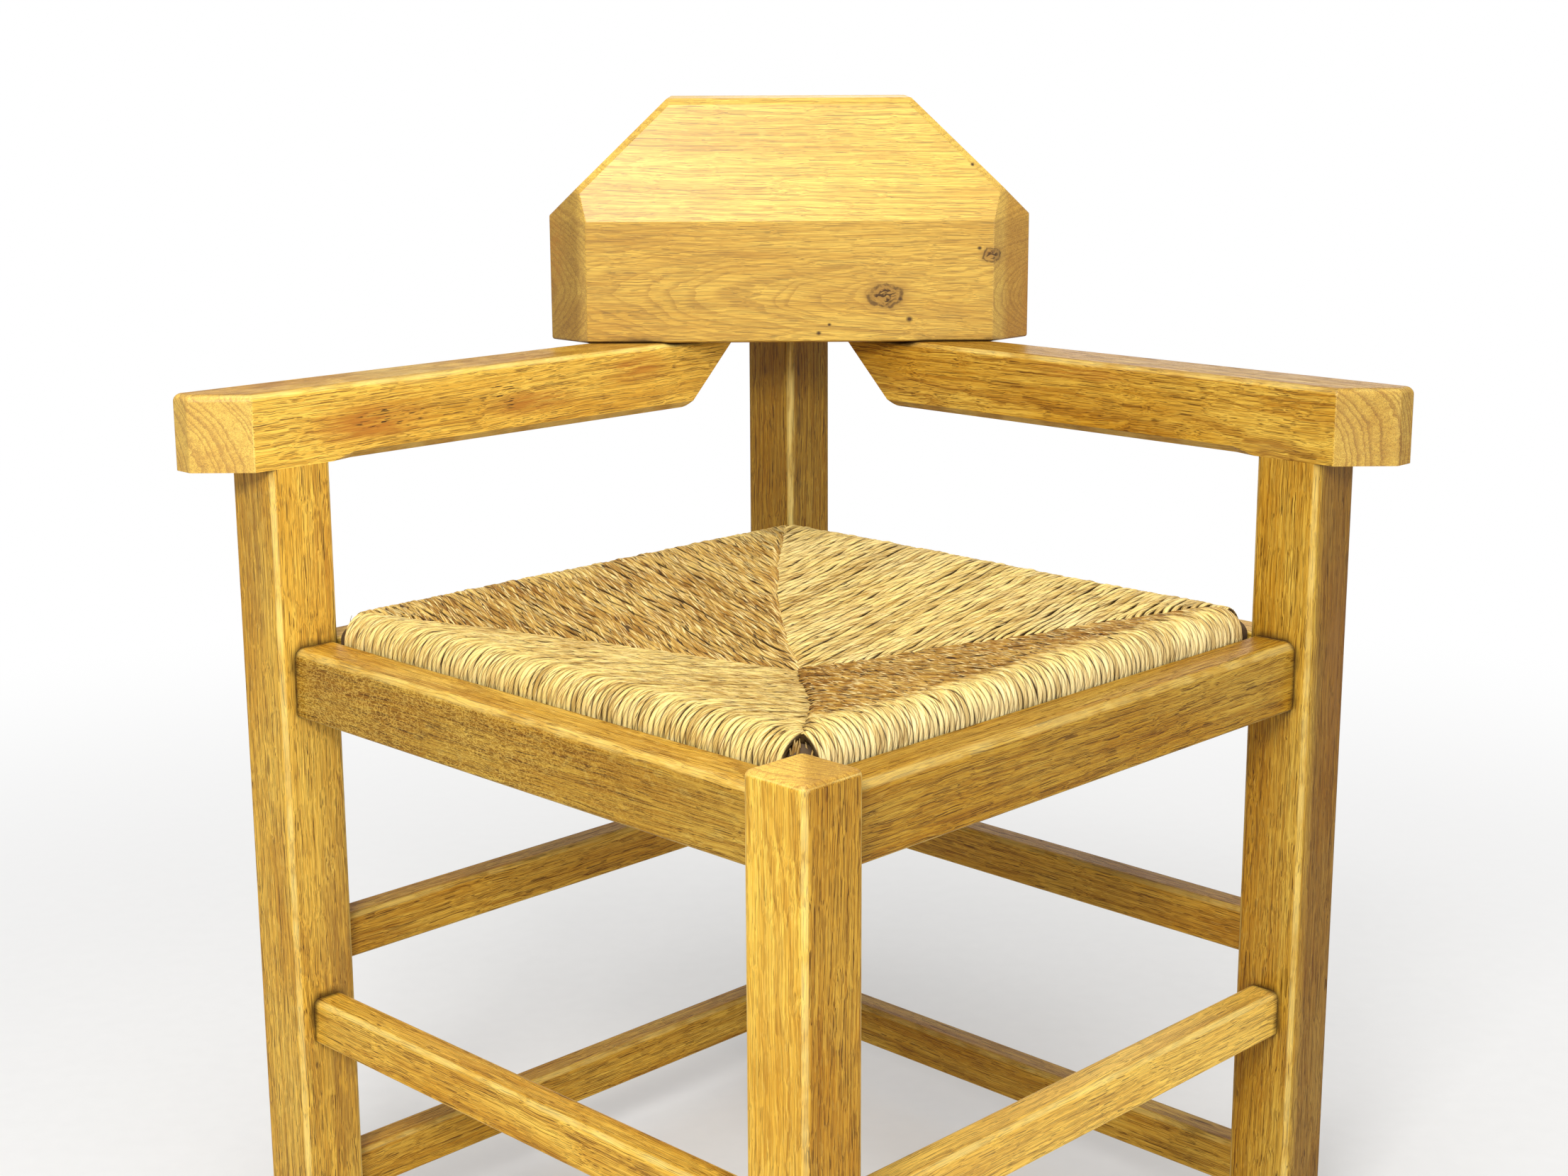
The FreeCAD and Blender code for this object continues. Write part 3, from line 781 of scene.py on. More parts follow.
# %% [markdown]
# Beech is used where it isn't seen: in the loose frame under the rush, in the dowels and in the corner
# blocks. It is pale and close, with short brown flecks along the grain. Towards the corners of the seat,
# where a little of it can be glimpsed between the cords, it is darkened with painted shade.

# %% Beech
BEECH_BROWN, BEECH_PALE = paint(0.52, 0.33, 0.17), paint(0.64, 0.44, 0.25)
FLECK_BROWN, PAINTED_CORNER_SHADE = paint(0.30, 0.16, 0.07), paint(0.034, 0.019, 0.010)
BEECH_BANDS, BEECH_FLECKS = (0.008, 0.16), (0.28, 1.3)


def beech_material(name, direction, shift=0.0):
    material, recipe, shader = new_material(name)
    grain, place = grain_frame(recipe, direction, (0, 0, 380), shift)
    bands = recipe.streaks(grain, BEECH_BANDS, 3.0)
    flecks = recipe.step(recipe.streaks(grain, BEECH_FLECKS, 1.0), 0.62, 0.70)
    colour = recipe.mix(recipe.step(bands, 0.3, 0.7), BEECH_BROWN, BEECH_PALE)
    colour = recipe.lay(colour, FLECK_BROWN, recipe.times(flecks, 0.6))
    # painted shade: darker towards the corners of the seat
    from_middle = recipe.length(recipe.vector("MULTIPLY", place, (1.0, 1.0, 0.0)))
    corner_shade = recipe.times(recipe.step(from_middle, 0.245, 0.270), 0.88)
    colour = recipe.lay(colour, PAINTED_CORNER_SHADE, corner_shade)
    recipe.finish(shader, colour, recipe.step(bands, 0.2, 0.8, 0.62, 0.74), flecks, 0.0001, 0.2)
    shader.inputs["Specular IOR Level"].default_value = 0.15
    return material


TO_RIGHT, TO_BACK = Vector((1, 0, 0)), Vector((0, 1, 0))
lying = {"seat_frame_front_left": ACROSS, "seat_frame_front_right": ALONG,
         "seat_frame_back_left": ALONG, "seat_frame_back_right": ACROSS,
         "corner_block_front": TO_RIGHT, "corner_block_back": TO_RIGHT,
         "corner_block_left": TO_BACK, "corner_block_right": TO_BACK,
         "dowels_arm_left": UP, "dowels_arm_right": UP, "dowel_back_post": UP}
for count, (name, direction) in enumerate(lying.items()):
    dress(name, beech_material("beech_" + name, direction, 700.0 * count))
print("in beech:", len(lying), "nodes")

# %% [markdown]
# The screws in the corner blocks are plain steel. Fine scratches change how sharp the shine is, and a
# coarser noise lets the metal tarnish.

# %% Steel
BRIGHT_STEEL, TARNISHED_STEEL = paint(0.56, 0.55, 0.53), paint(0.33, 0.30, 0.27)

steel, recipe, shader = new_material("steel_screws")
place = recipe.node("TexCoord", out=3)
scratches = recipe.noise(place, 2600.0, 3.0)
tarnish = recipe.step(recipe.noise(place, 300.0, 3.0), 0.4, 0.65)
metal = recipe.mix(tarnish, BRIGHT_STEEL, TARNISHED_STEEL)
recipe.finish(shader, metal, recipe.step(scratches, 0.2, 0.8, 0.28, 0.5), scratches, 0.00005, 0.3)
shader.inputs["Metallic"].default_value = 1.0
dress("corner_block_screws", steel)
print("in steel: corner_block_screws")

# %% [markdown]
# A rush seat is one long cord, twisted from wet leaves by hand while it is wound. It goes over a rail,
# into the middle, up through the gap, over the next rail and so on round the frame. That leaves four
# fields of cords that lie side by side, each field square to its own rail, and meet in four seams that
# run from the corners to the middle. At a seam each cord dives under the one that crosses it.
#
# A bump map can't give that: the outline of the seat, the gaps at the corners and the seams all show
# single cords. So each cord is made as a tube. Its line is worked out in the plane of its own turn: how
# far in it is from the side of the seat, and how high. The whole set takes a few seconds in numpy,
# because each cord is a plain grid of points.

# %% Sizes of the seat, in millimetres
SEAT_HALF = 214.75
FIRST_CORD = 15.5
CORDS = 90
CORD_RADIUS = 2.24
CREST, CREST_ROUND, CREST_IN, DISH = 465.5, 17.0, 21.5, 40.0
SEAT_FLOOR, FLOOR_ROUND, SAG, SAG_IN = 425.5, 5.0, 17.5, 56.75
PITCH = (2 * SEAT_HALF - 2 * FIRST_CORD) / CORDS
print("cords lie", round(PITCH, 2), "mm apart,", 4 * CORDS, "in all")

# %% [markdown]
# The seams aren't straight on a real seat. Each one starts at its corner, wanders by up to a couple of
# centimetres and ends at a shared point near the middle. They are kept as short lists: how far from the
# corner, and by how much one field reaches further than the other. The numbers were read off the
# photograph.

# %% Seams and fields
CENTRE = (-1.4, -5.7)
SEAMS = {
    "front": [(0, 0), (25, 3), (60, 9), (92, 13), (126, 13), (165, 8)],
    "right": [(0, 0), (16, 3), (35, 12), (55, 12), (82, 5), (123, 2), (164, -2)],
    "back": [(0, 0), (35, 8), (78, 17), (120, 19), (165, 11)],
    "left": [(0, 0), (40, 1), (90, -1), (150, 1)],
}
CORNERS = {"front": (-1, -1), "right": (1, -1), "back": (1, 1), "left": (-1, 1)}
FIELDS = {"front_left": (-ALONG, "left", "front"), "front_right": (-ACROSS, "front", "right"),
          "back_right": (ALONG, "right", "back"), "back_left": (ACROSS, "back", "left")}


def sideways_of(outward):
    return Vector((-outward.y, outward.x, 0))


def seam_places(corner):
    places = []
    signs = CORNERS[corner]
    for reach, more in SEAMS[corner]:
        two = (reach + more / 2, reach - more / 2)
        along, across = two if corner in ("front", "back") else two[::-1]
        places.append((signs[0] * (SEAT_HALF - along), signs[1] * (SEAT_HALF - across)))
    return [ALONG * x + ACROSS * y for x, y in places + [CENTRE]]


def seam_table(outward, before, after):
    """For one side of the seat: places along it, and how far in from it the seam lies there."""
    sideways = sideways_of(outward)
    places = seam_places(before) + seam_places(after)[:-1]
    table = sorted((place.dot(sideways), SEAT_HALF - place.dot(outward)) for place in places)
    return np.array(table).T


def field_record(number, name):
    outward, before, after = FIELDS[name]
    out, side, up = (np.array(axis) for axis in (outward, sideways_of(outward), UP))
    table = seam_table(outward, before, after)
    return SimpleNamespace(name=name, number=number, out=out, side=side, up=up, table=table)


fields = [field_record(number, name) for number, name in enumerate(FIELDS)]
for field in fields:
    print(field.name, "longest cord reaches in", round(field.table[1].max(), 1), "mm")

# %% [markdown]
# Nothing wound by hand is even. Two kinds of unevenness are needed: one that neighbouring cords share,
# because they push each other aside, and one of each cord's own. Both come from a few sine waves in
# random directions, which is smooth, quick and the same on every run, since each draw has its seed.
#
# The seat's upper side falls from the crest to the middle, and its underside sags. Both turn softly from
# level to slope, with no kink, which is what soft_over does.

# %% Unevenness and heights
WAVES = 7


def sway(places, reach, seed):
    """Smooth unevenness of about one unit, over places in millimetres, that changes over about this reach."""
    draw = np.random.default_rng(seed)
    total = 0.0
    for _ in range(WAVES):
        wave = draw.normal(size=places.shape[-1]) * 2.2 / reach
        total = total + np.sin(places @ wave + draw.uniform(0, 2 * math.pi))
    return total * math.sqrt(2 / WAVES)


def soft_over(distance, width=4.0):
    return (distance + np.sqrt(distance * distance + width * width)) / 2


def top_height(inward):
    return CREST - DISH / (SEAT_HALF - CREST_IN) * soft_over(inward - CREST_IN)


def floor_height(inward):
    return SEAT_FLOOR - SAG / (SEAT_HALF - SAG_IN) * soft_over(inward - SAG_IN)


trial = sway(np.random.default_rng(1).uniform(0, 400, (2000, 2)), 60, 3)
print("unevenness", round(float(trial.std()), 2), "middle height", round(float(top_height(SEAT_HALF)), 1))

# %% [markdown]
# One cord's line starts under the seat at the seam, where it is tucked up, runs outwards along the
# floor, turns up the side, goes over the crest and runs down into the dish, where it dives at the seam.
# It is close-stepped where it is seen and coarse under the seat.

# %% The line of one cord
SEEN_STEP, HIDDEN_STEP = 3.2, 8.0
TUCK = [(1.8, 4.4), (1.0, 2.0)]
DIVE = [(-1.3, -0.15), (0.2, -1.0), (1.2, -2.6), (1.7, -4.8)]
STOP_BEFORE_SEAM = 2.4


def quarter(centre, radius, start, end, count):
    turn = np.radians(np.linspace(start, end, count))
    return np.stack([centre[0] + radius * np.cos(turn), centre[1] + radius * np.sin(turn)], axis=1)


def steps_from(inward, height, moves):
    return [[inward + further, height + higher] for further, higher in moves]


def cord_line(top_end, floor_end):
    """The line as pairs of inward and height, and the number of its first point on the crest."""
    r = CORD_RADIUS
    tuck = steps_from(floor_end, floor_height(floor_end) + r, TUCK)
    under = np.arange(floor_end, FLOOR_ROUND + 2, -HIDDEN_STEP)
    under = np.stack([under, floor_height(under) + r], axis=1)
    heel = quarter((FLOOR_ROUND, SEAT_FLOOR + FLOOR_ROUND), FLOOR_ROUND - r, 270, 180, 3)
    rise = np.arange(heel[-1, 1] + SEEN_STEP, CREST - CREST_ROUND - 1, SEEN_STEP)
    rise = np.stack([np.full_like(rise, r), rise], axis=1)
    crest = quarter((CREST_ROUND, CREST - CREST_ROUND), CREST_ROUND - r, 180, 90, 9)
    run = np.arange(CREST_ROUND + SEEN_STEP, SEAT_HALF + 30, SEEN_STEP)
    over = np.concatenate([crest, np.stack([run, top_height(run) - r], axis=1)])
    over = over[over[:, 0] < top_end - STOP_BEFORE_SEAM]
    if top_end > CREST_ROUND:
        end_height = top_height(top_end) - r
    else:
        end_height = np.interp(top_end, crest[:, 0], crest[:, 1])
    dive = steps_from(top_end, end_height, DIVE)
    crest_at = len(tuck) + len(under) + len(heel) + len(rise)
    return np.concatenate([tuck, under, heel, rise, over, dive]), crest_at


def line_run(line):
    """How far along the line each of its points is."""
    return np.concatenate([[0], np.cumsum(np.linalg.norm(np.diff(line, axis=0), axis=1))])


trial, _ = cord_line(150.0, 150.0)
print("a cord of", round(float(line_run(trial)[-1])), "mm in", len(trial), "steps")

# %% [markdown]
# All tubes of a field are gathered into one mesh, because hundreds of single objects would be slow.
# Every point keeps two small records for the finish: turn, where it is round the twisted section and
# along the cord, and cord, which cord it is on, whether it faces outwards, and how worn the seat is
# there together with the painted light and shade of its field.

# %% Tubes gathered into one mesh
class Bundle:
    def __init__(self):
        self.points, self.faces, self.turn, self.cord, self.count = [], [], [], [], 0

    def add(self, rings, turn, cord):
        """rings is a grid of points, steps by points round; turn and cord hold three such grids each."""
        steps, around = rings.shape[:2]
        grid = self.count + np.arange(steps * around).reshape(steps, around)
        across = np.roll(grid, -1, axis=1)
        quads = np.stack([grid[:-1], across[:-1], across[1:], grid[1:]], axis=-1).reshape(-1, 4)
        self.faces += quads.tolist() + [grid[0][::-1].tolist(), grid[-1].tolist()]
        self.points.append(rings.reshape(-1, 3) * MM)
        self.turn.append(np.stack(turn, axis=-1).reshape(-1, 3))
        self.cord.append(np.stack(cord, axis=-1).reshape(-1, 3))
        self.count += steps * around

    def piece(self, name):
        mesh = bpy.data.meshes.new(name)
        mesh.from_pydata(np.concatenate(self.points).tolist(), [], self.faces)
        mesh.shade_smooth()
        for label, values in (("turn", self.turn), ("cord", self.cord)):
            record = mesh.attributes.new(label, "FLOAT_VECTOR", "POINT")
            record.data.foreach_set("vector", np.concatenate(values).ravel())
        return put_in_scene(name, mesh)


def frames_along(centre, sideways):
    """For each point of a line: sideways and outwards, both of length one and square to the line."""
    tangent = np.gradient(centre, axis=0)
    tangent /= np.linalg.norm(tangent, axis=1)[:, None]
    side = sideways - (tangent @ sideways)[:, None] * tangent
    side /= np.linalg.norm(side, axis=1)[:, None]
    return side, np.cross(side, tangent)


straight = np.linspace((0, 0, 0), (10, 0, 0), 3)
print("outwards of a line to the right:", frames_along(straight, np.array(TO_BACK))[1][0].round(3))

# %% [markdown]
# First the middle line of a cord gets its place in space. It is pushed aside and lifted by the two kinds
# of unevenness, fully where it is seen and only a little under the seat.

# %% Where one cord lies
SHARED_REACH = 60


def cord_path(field, draw, s):
    """s is the cord's place along its side of the seat, from the middle of that side."""
    reach = np.interp(s, *field.table) + draw.normal() * 0.5
    line, crest_at = cord_line(reach, SEAT_HALF - abs(s))
    run = line_run(line)
    run = run - run[crest_at]
    own = draw.uniform(0, 1000)
    shared, alone = (np.stack([np.full_like(run, value), run], axis=1) for value in (s, own))
    aside = 0.9 * sway(shared, SHARED_REACH, 10 + field.number) + 0.30 * sway(alone, 18, 20 + field.number)
    lift = 0.5 * sway(shared, SHARED_REACH, 30 + field.number) + 0.26 * sway(alone, 16, 40 + field.number)
    shown = np.clip((run - 8) / 25, 0, 1)
    centre = (field.out * (SEAT_HALF - line[:, :1])
              + field.side * (s + aside * (0.35 + 0.65 * shown))[:, None]
              + field.up * (line[:, 1] + lift * shown)[:, None])
    return SimpleNamespace(centre=centre, run=run, own=own, shared=shared, alone=alone)


trial = cord_path(fields[0], np.random.default_rng(1), 0.0)
print("a middle cord ends", (np.linalg.norm(trial.centre[-1, :2])).round(1), "mm from the middle")

# %% [markdown]
# Then a tube is laid round the line. The cord is twisted from two bundles of leaf, so its section has
# two low lobes that turn once in 45 mm, and the grooves between them slant across the cord as they do on
# the real one. The section is also a little square, as cords are that lie pressed together.
#
# Wear, with painted light and shade, decides which part of the seat is brown and which is pale. Each
# field has two values, one for the side of the seat and one for the dish: below zero the leaf is laid
# pale, as fresh leaf and as painted light, and near one it is tinted brown, as rubbed leaf and as painted
# shade. In the photograph the dish is brown at the front right and at the back left.

# %% Winding the four fields
AROUND = 12
TWIST = 45.0
LOBE = 0.10
THETA = np.linspace(0, 2 * math.pi, AROUND, endpoint=False)
FLAT_OUT = 0.96 * (np.sign(np.cos(THETA)) * abs(np.cos(THETA)) ** 0.72)[None, :, None]
FLAT_SIDE = (np.sign(np.sin(THETA)) * abs(np.sin(THETA)) ** 0.85)[None, :, None]
# per field: values below zero lay pale leaf and painted light, values near one tint brown wear and painted
# shade
WEAR_AND_FIELD_LIGHT = {"front_left": (-0.30, 0.20), "front_right": (-1.0, 0.95),
        "back_right": (-0.35, -0.25), "back_left": (0.25, 0.70)}


def wind_cord(bundle, field, draw, s):
    cord = cord_path(field, draw, s)
    side, out = frames_along(cord.centre, field.side)
    size = CORD_RADIUS * (1 + 0.06 * sway(cord.alone, 14, 50 + field.number) + 0.04 * draw.normal())
    local = THETA[None, :] - (2 * math.pi * cord.run / TWIST + draw.uniform(0, 2 * math.pi))[:, None]
    r = size[:, None] * (1 + LOBE * np.cos(2 * local) + 0.02 * np.cos(5 * local))
    rings = cord.centre[:, None] + r[..., None] * (FLAT_OUT * out[:, None] + FLAT_SIDE * side[:, None])
    length, facing = np.broadcast_arrays(cord.run[:, None] * MM, np.cos(THETA)[None, :])
    at_side, in_dish = WEAR_AND_FIELD_LIGHT[field.name]
    inside = np.clip((cord.run - 3) / 42, 0, 1)
    worn_and_painted = at_side * (1 - inside) + in_dish * inside + 0.12 * sway(cord.shared, 45, 60 + field.number)
    wear_and_painted_light = np.broadcast_to(worn_and_painted[:, None], length.shape)
    bundle.add(rings, (np.cos(local), np.sin(local), length),
               (np.full_like(length, cord.own / 1000), facing, wear_and_painted_light))


def wind_field(field):
    draw = np.random.default_rng(100 + field.number)
    bundle = Bundle()
    for index in range(CORDS):
        wind_cord(bundle, field, draw, -SEAT_HALF + FIRST_CORD + (index + 0.25) * PITCH)
    return bundle.piece("rush_" + field.name)


woven = [wind_field(field) for field in fields]
print("woven:", sum(len(piece.data.polygons) for piece in woven), "faces")

# %% [markdown]
# Dry leaf splits, and slivers of it stand off the cords. A sliver is a flat tube of six points round,
# laid along a short line. It keeps the same two records as a cord, so that it can take the same finish.

# %% A loose leaf
SHARE = np.linspace(0, 1, 6)
LEAF_TURN = np.linspace(0, 2 * math.pi, 6, endpoint=False)


def lay_leaf(bundle, centre, sideways, width, thick, length, own, wear_and_painted_light):
    side, out = frames_along(centre, sideways)
    rings = centre[:, None] + (np.cos(LEAF_TURN)[None, :, None] * out[:, None] * thick
                               + width[:, None, None] * np.sin(LEAF_TURN)[None, :, None] * side[:, None])
    along, cosine = np.broadcast_arrays(SHARE[:, None] * length * MM, np.cos(LEAF_TURN)[None, :])
    sine = np.broadcast_to(np.sin(LEAF_TURN)[None, :], along.shape)
    bundle.add(rings, (cosine, sine, along),
               (np.full_like(along, own), np.ones_like(along), np.full_like(along, wear_and_painted_light)))


print("a loose leaf has", len(SHARE) * len(LEAF_TURN), "points")

# %% [markdown]
# Most slivers are on the field at the back left. Each starts inside a cord, runs at a small angle to it
# and lifts at its end. In the gaps over the four corners stand short wisps, the ends of leaves that were
# tucked in there. All draws come from one seeded source, in a fixed order.

# %% Slivers and wisps
SLIVERS = {"front_left": 45, "front_right": 60, "back_right": 55, "back_left": 150}
WISPS = 16
CORNER_REACH = 288.0


def torn_slivers(bundle, field, draw):
    for _ in range(SLIVERS[field.name]):
        s = draw.uniform(-0.86, 0.86) * SEAT_HALF
        deepest = np.interp(s, *field.table) - 6
        inward = draw.uniform(22, max(deepest, 26))
        long, wide, slant = draw.uniform(7, 19), draw.uniform(0.40, 0.85), draw.uniform(0.05, 0.45)
        depth = inward + (SHARE - 0.5) * long
        lift = draw.uniform(0.3, 1.3) * SHARE ** 2 - 0.35
        centre = (field.out * (SEAT_HALF - depth[:, None])
                  + field.side * (s + slant * long * SHARE)[:, None]
                  + field.up * (top_height(depth) + lift)[:, None])
        width = wide * (0.25 + np.sin(math.pi * np.clip(SHARE * 0.9 + 0.08, 0, 1)))
        lay_leaf(bundle, centre, field.side, width, 0.14, long, draw.uniform(0, 1), 0.0)


def corner_wisps(bundle, signs, draw):
    share = SHARE[:, None]
    outward = (ALONG * signs[0] + ACROSS * signs[1]).normalized()
    sideways = sideways_of(outward)
    for _ in range(WISPS):
        across, deep = draw.uniform(-5.5, 5.5), draw.uniform(0.0, 7.0)
        foot = outward * (CORNER_REACH - deep) + sideways * across + UP * draw.uniform(446, 452)
        tip = outward * draw.uniform(-3, 2) + sideways * draw.uniform(-2.5, 2.5) + UP * draw.uniform(7, 13)
        bow = outward * draw.uniform(0.5, 2.0)
        centre = np.array(foot) + share * np.array(tip) + 4 * share * (1 - share) * np.array(bow)
        width = draw.uniform(0.5, 1.1) * (0.35 + np.sin(math.pi * SHARE * 0.9 + 0.2))
        lay_leaf(bundle, centre, np.array(sideways), width, 0.16, 12, draw.uniform(), 0.9)


loose = Bundle()
draw = np.random.default_rng(5)
for field in fields:
    torn_slivers(loose, field, draw)
for signs in CORNERS.values():
    corner_wisps(loose, signs, draw)
slivers = loose.piece("rush_slivers")
print("slivers:", sum(SLIVERS.values()), "wisps:", len(CORNERS) * WISPS)

# %% [markdown]
# The gap between the upper and the lower cords is stuffed with waste leaf while the seat is wound. It
# shows only as darkness between cords, but without it the eye could look through the seat. It is made as
# one closed body that follows the dish above and the sag below, a little inside the cords: an upper
# skin, a lower skin turned over, and walls between their rims.

# %% Stuffing
STUFF_HALF = 184.0
STUFF_LINES = 49
STUFF_DEEP = 2 * CORD_RADIUS - 0.6
STUFF_CLEAR = 0.8


def stuffing_points():
    line = np.linspace(-STUFF_HALF, STUFF_HALF, STUFF_LINES)
    x, y = np.meshgrid(line, line, indexing="ij")
    inward = SEAT_HALF - np.maximum(abs(x), abs(y))
    uneven = 0.5 * sway(np.stack([x, y], axis=-1), 22, 77)
    upper = top_height(inward) - STUFF_DEEP - STUFF_CLEAR + uneven
    lower = floor_height(inward) + STUFF_DEEP + STUFF_CLEAR - uneven
    skins = []
    for height in (upper, lower):
        skin = x[..., None] * np.array(ALONG) + y[..., None] * np.array(ACROSS)
        skin[..., 2] = height
        skins.append(skin.reshape(-1, 3))
    return np.concatenate(skins) * MM


def stuffing_faces():
    grid = np.arange(STUFF_LINES ** 2).reshape(STUFF_LINES, STUFF_LINES)
    quads = np.stack([grid[:-1, :-1], grid[1:, :-1], grid[1:, 1:], grid[:-1, 1:]], axis=-1).reshape(-1, 4)
    rim = np.concatenate([grid[:, 0], grid[-1, 1:], grid[-2::-1, -1], grid[0, -2:0:-1]])
    below = STUFF_LINES ** 2
    walls = [[int(p), int(p) + below, int(q) + below, int(q)] for p, q in zip(np.roll(rim, -1), rim)]
    return quads.tolist() + (quads[:, ::-1] + below).tolist() + walls


mesh = bpy.data.meshes.new("rush_stuffing")
mesh.from_pydata(stuffing_points().tolist(), [], stuffing_faces())
mesh.shade_smooth()
core = put_in_scene("rush_stuffing", mesh)
print("stuffing:", len(mesh.polygons), "faces")

# %% [markdown]
# Rush dries to many colours: pale cream where a leaf lay open, gold, brown, and nearly black where it
# was bruised. The finish reads the two records kept in the mesh. The record called turn gives its noises
# their place, so the fibres, the bright slivers of torn leaf and the dark bruises all wind round each
# cord with its twist. Each cord starts at its own place in the noise, so that neighbours differ.

# %% Patterns of the leaf
CORD_START = (91.0, 37.0)


def leaf_patterns(recipe):
    turn = recipe.node("Attribute", out=1, attribute_name="turn")
    cord = recipe.node("Attribute", out=1, attribute_name="cord")
    own, facing, wear_and_painted_light = recipe.node("SeparateXYZ", cord).node.outputs
    start = recipe.node("CombineXYZ", *(recipe.times(own, far) for far in CORD_START), 0.0)

    def leaf_noise(around, along, detail, offset=0.0):
        place = recipe.vector("ADD", recipe.vector("MULTIPLY", turn, (around, around, along)), start)
        return recipe.noise(recipe.vector("ADD", place, (offset, offset, offset)), detail=detail)

    leaf = SimpleNamespace(own=own, facing=facing, wear_and_painted_light=wear_and_painted_light)
    leaf.fibre = leaf_noise(4.6, 36.0, 2.5)
    leaf.broad = leaf_noise(0.7, 16.0, 2.0, 3.1)
    leaf.torn = leaf_noise(2.2, 42.0, 2.5, 5.7)
    leaf.bruised = leaf_noise(1.3, 85.0, 2.0, 9.2)
    leaf.patch = recipe.noise(recipe.node("TexCoord", out=3), 14.0, 3.0)
    leaf.groove = recipe.step(recipe.math("ABSOLUTE", recipe.part(turn, 0)), 0.0, 0.30, 1.0, 0.0)
    leaf.pits = recipe.step(recipe.math("MULTIPLY_ADD", wear_and_painted_light, 0.075, leaf.bruised), 0.68, 0.72)
    return leaf


print("each cord starts", CORD_START, "further on in its noise")

# %% [markdown]
# The layers of the rush: first a tone between dull and bright, from the leaf and from broad patches of
# the seat, then wear with painted light and shade, which tints it brown or lays it pale. Some cords are
# browner than others. Fibres, torn leaf, painted shade in the grooves and pits follow, and last painted
# shade between two cords, which is laid where the record says that the tube doesn't face outwards. The
# number called gaps is 1 for the cords and 0 for the loose slivers, which have no grooves, pits or gaps.

# %% Finish of the rush
WORN_AND_PAINTED_SHADE, FRESH_AND_PAINTED_LIGHT = paint(0.62, 0.47, 0.26), paint(1.0, 0.84, 0.44)
BROWN_CORD_SHADE, LEAF_FIBRE_SHADE = paint(0.70, 0.63, 0.51), paint(0.52, 0.40, 0.25)
TORN_LEAF, PAINTED_GROOVE_SHADE = paint(0.98, 0.77, 0.34), paint(0.20, 0.090, 0.020)
PIT_BROWN, PAINTED_GAP_SHADE = paint(0.050, 0.022, 0.008), paint(0.036, 0.015, 0.004)


def leaf_colour(recipe, leaf, dull, bright, gaps):
    tone = recipe.math("ADD", recipe.times(leaf.broad, 0.76), recipe.times(leaf.patch, 0.24))
    tone = recipe.math("SUBTRACT", tone, recipe.times(leaf.wear_and_painted_light, 0.07))
    colour = recipe.mix(recipe.step(tone, 0.27, 0.565), dull, bright)
    # tinted brown for wear, and as painted shade in the dish at the front right and back left
    colour = recipe.tint(colour, WORN_AND_PAINTED_SHADE, recipe.step(leaf.wear_and_painted_light, 0.0, 1.1))
    # laid pale for fresh leaf, and as painted light, most on the side at the front right
    colour = recipe.lay(colour, FRESH_AND_PAINTED_LIGHT, recipe.step(leaf.wear_and_painted_light, -0.05, -1.05, 0.0, 0.78 * gaps))
    colour = recipe.tint(colour, BROWN_CORD_SHADE, recipe.step(leaf.own, 0.45, 0.0))
    colour = recipe.tint(colour, LEAF_FIBRE_SHADE, recipe.step(leaf.fibre, 0.50, 0.36))
    colour = recipe.lay(colour, TORN_LEAF, recipe.step(leaf.torn, 0.56, 0.64, 0.0, 0.88))
    # painted shade in the grooves between the two twisted bundles
    colour = recipe.lay(colour, PAINTED_GROOVE_SHADE, recipe.times(leaf.groove, 0.62 * gaps))
    colour = recipe.lay(colour, PIT_BROWN, recipe.times(leaf.pits, 0.92 * gaps))
    # painted shade on the flanks of each cord, between it and its neighbours
    return recipe.lay(colour, PAINTED_GAP_SHADE, recipe.step(leaf.facing, 0.80, 0.28, 0.0, 0.96 * gaps))


def rush_material(name, dull, bright, gaps):
    material, recipe, shader = new_material(name)
    leaf = leaf_patterns(recipe)
    colour = leaf_colour(recipe, leaf, dull, bright, gaps)
    raised = recipe.math("ADD", leaf.fibre, recipe.times(leaf.torn, 0.6))
    sunk = recipe.math("ADD", recipe.times(leaf.groove, 0.5 * gaps), recipe.times(leaf.pits, 0.8))
    height = recipe.math("SUBTRACT", raised, sunk)
    recipe.finish(shader, colour, recipe.step(leaf.fibre, 0.2, 0.8, 0.64, 0.50), height, 0.0012, 0.8)
    recipe.wax(shader, 0.09, 0.45)
    return material


rush = rush_material("rush_cord", paint(0.60, 0.36, 0.080), paint(1.0, 0.77, 0.265), 1.0)
pale_leaf = rush_material("rush_leaf", paint(0.78, 0.54, 0.17), paint(0.98, 0.77, 0.33), 0.0)
print("rush materials:", rush.name, pale_leaf.name)

# %% [markdown]
# The stuffing is dark waste leaf, a noise of shreds. Then all six pieces take the place of the packed
# pad, and ride on the seat, which lifts out of the chair. The rush is wound tightly enough to bear a
# person, and is still soft.

# %% The rush takes its place
WASTE_DARK, WASTE_BROWN = paint(0.05, 0.028, 0.012), paint(0.20, 0.115, 0.045)

waste, recipe, shader = new_material("rush_waste")
place = recipe.node("TexCoord", out=3)
shreds = recipe.noise(recipe.vector("MULTIPLY", place, (900.0, 160.0, 300.0)), detail=3.0)
recipe.finish(shader, recipe.mix(shreds, WASTE_DARK, WASTE_BROWN), 0.8, shreds, 0.001)

for piece in woven:
    piece.data.materials.append(rush)
slivers.data.materials.append(pale_leaf)
core.data.materials.append(waste)

for piece in woven + [slivers, core]:
    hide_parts("seat_rush")
    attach(piece, "seat")
print("rush finished on", len(woven), "fields, the slivers and the stuffing")

# %% [markdown]
# The floor is pale and plain, and keeps the chair's shadow. It is far wider than the picture, and away
# from the chair its colour runs out into white for the camera and for reflections, so that no horizon
# shows.

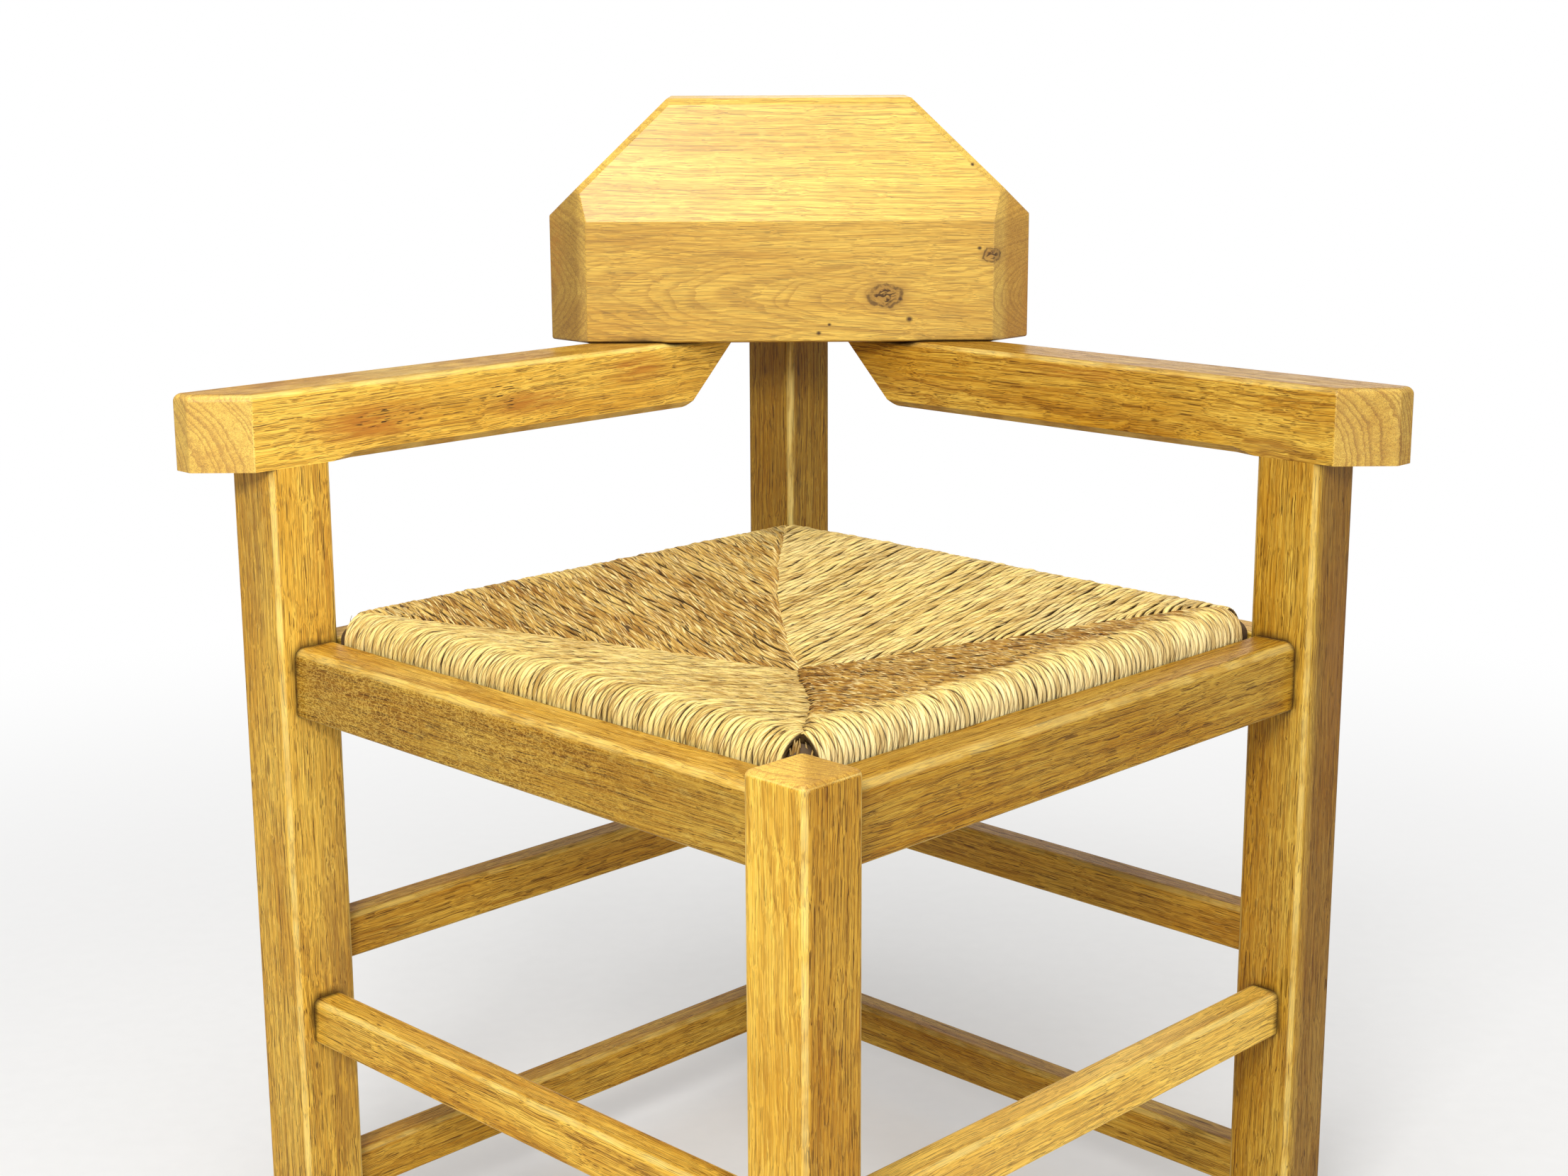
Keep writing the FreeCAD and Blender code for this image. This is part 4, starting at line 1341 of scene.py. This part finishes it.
# %% Floor
FLOOR_REACH = 6.0
FLOOR_CORNERS = ((-1, -1), (1, -1), (1, 1), (-1, 1))
PAPER_GREY, PAPER_WHITE = paint(0.84, 0.83, 0.81), paint(0.90, 0.89, 0.87)
WHITE = paint(1.0, 1.0, 1.0)

mesh = bpy.data.meshes.new("floor")
mesh.from_pydata([(x * FLOOR_REACH, y * FLOOR_REACH, 0.0) for x, y in FLOOR_CORNERS], [], [(0, 1, 2, 3)])
floor = put_in_scene("floor", mesh)
paper, recipe, shader = new_material("pale_floor")
place = recipe.node("TexCoord", out=3)
fleck = recipe.noise(place, 60.0, 3.0)
recipe.finish(shader, recipe.mix(fleck, PAPER_GREY, PAPER_WHITE), 0.85, fleck, 0.0002, 0.1)
seen_by = recipe.tree.nodes.new("ShaderNodeLightPath").outputs
seen = recipe.math("MAXIMUM", seen_by["Is Camera Ray"], seen_by["Is Glossy Ray"])
far = recipe.step(recipe.length(place), 0.2, 2.0, 0.30, 1.0)
glow = recipe.node("Emission", WHITE, 1.0)
recipe.give(recipe.surface, recipe.node("MixShader", recipe.times(far, seen), shader.outputs[0], glow))
mesh.materials.append(paper)
print("floor", 2 * FLOOR_REACH, "m wide")

# %% [markdown]
# Light: a key lamp above the camera and to its left, a big soft one overhead, a weak broad one from the
# right and a fainter one from behind, which keeps the back of the chair from going dull. The key stands
# where its reflection falls on the left half of the leaning face of the backrest, as in the photograph.

# %% Lamps
LAMPS = {
    "key": dict(place=(-0.44, -1.72, 1.50), target=(0.0, 0.05, 0.45), size=(0.62, 0.45), power=29.0),
    "overhead": dict(place=(-0.20, -0.55, 2.30), target=(0.0, 0.0, 0.3), size=(1.3, 1.1), power=27.0),
    "fill": dict(place=(1.7, -1.5, 1.0), target=(0.0, 0.0, 0.4), size=(1.2, 1.2), power=16.0),
    "behind": dict(place=(0.7, 2.3, 1.5), target=(0.0, 0.0, 0.4), size=(1.8, 1.2), power=9.0),
}


def lamp(name, place, target, size, power):
    light = bpy.data.lights.new(name, "AREA")
    light.shape = "RECTANGLE"
    light.size, light.size_y = size
    light.energy = power
    holder = put_in_scene(name, light)
    holder.location = place
    holder.rotation_euler = (Vector(target) - Vector(place)).to_track_quat("-Z", "Y").to_euler()


for name, told in LAMPS.items():
    lamp(name, **told)
print("lamps:", ", ".join(LAMPS), "with", sum(told["power"] for told in LAMPS.values()), "W")

# %% [markdown]
# The sky is white to the camera, in reflections and through glass, and dimmed as a source of light, so
# that the white doesn't brighten the chair. The Light Path node tells which kind of look it is.

# %% Sky
SKY_LIGHT, SKY_SEEN = 0.24, 1.0

sky = bpy.data.worlds.new("sky")
sky.use_nodes = True
sky.node_tree.nodes.clear()
recipe = Recipe(sky.node_tree)
seen_by = recipe.tree.nodes.new("ShaderNodeLightPath").outputs
direct = recipe.math("MAXIMUM", seen_by["Is Camera Ray"], seen_by["Is Glossy Ray"])
direct = recipe.math("MAXIMUM", direct, seen_by["Is Transmission Ray"])
strength = recipe.node("MapRange", direct, 0.0, 1.0, SKY_LIGHT, SKY_SEEN)
background = recipe.node("Background", WHITE, strength)
recipe.give(sky.node_tree.nodes.new("ShaderNodeOutputWorld").inputs[0], background)
bpy.context.scene.world = sky
print("sky gives", SKY_LIGHT, "of the white that it shows")
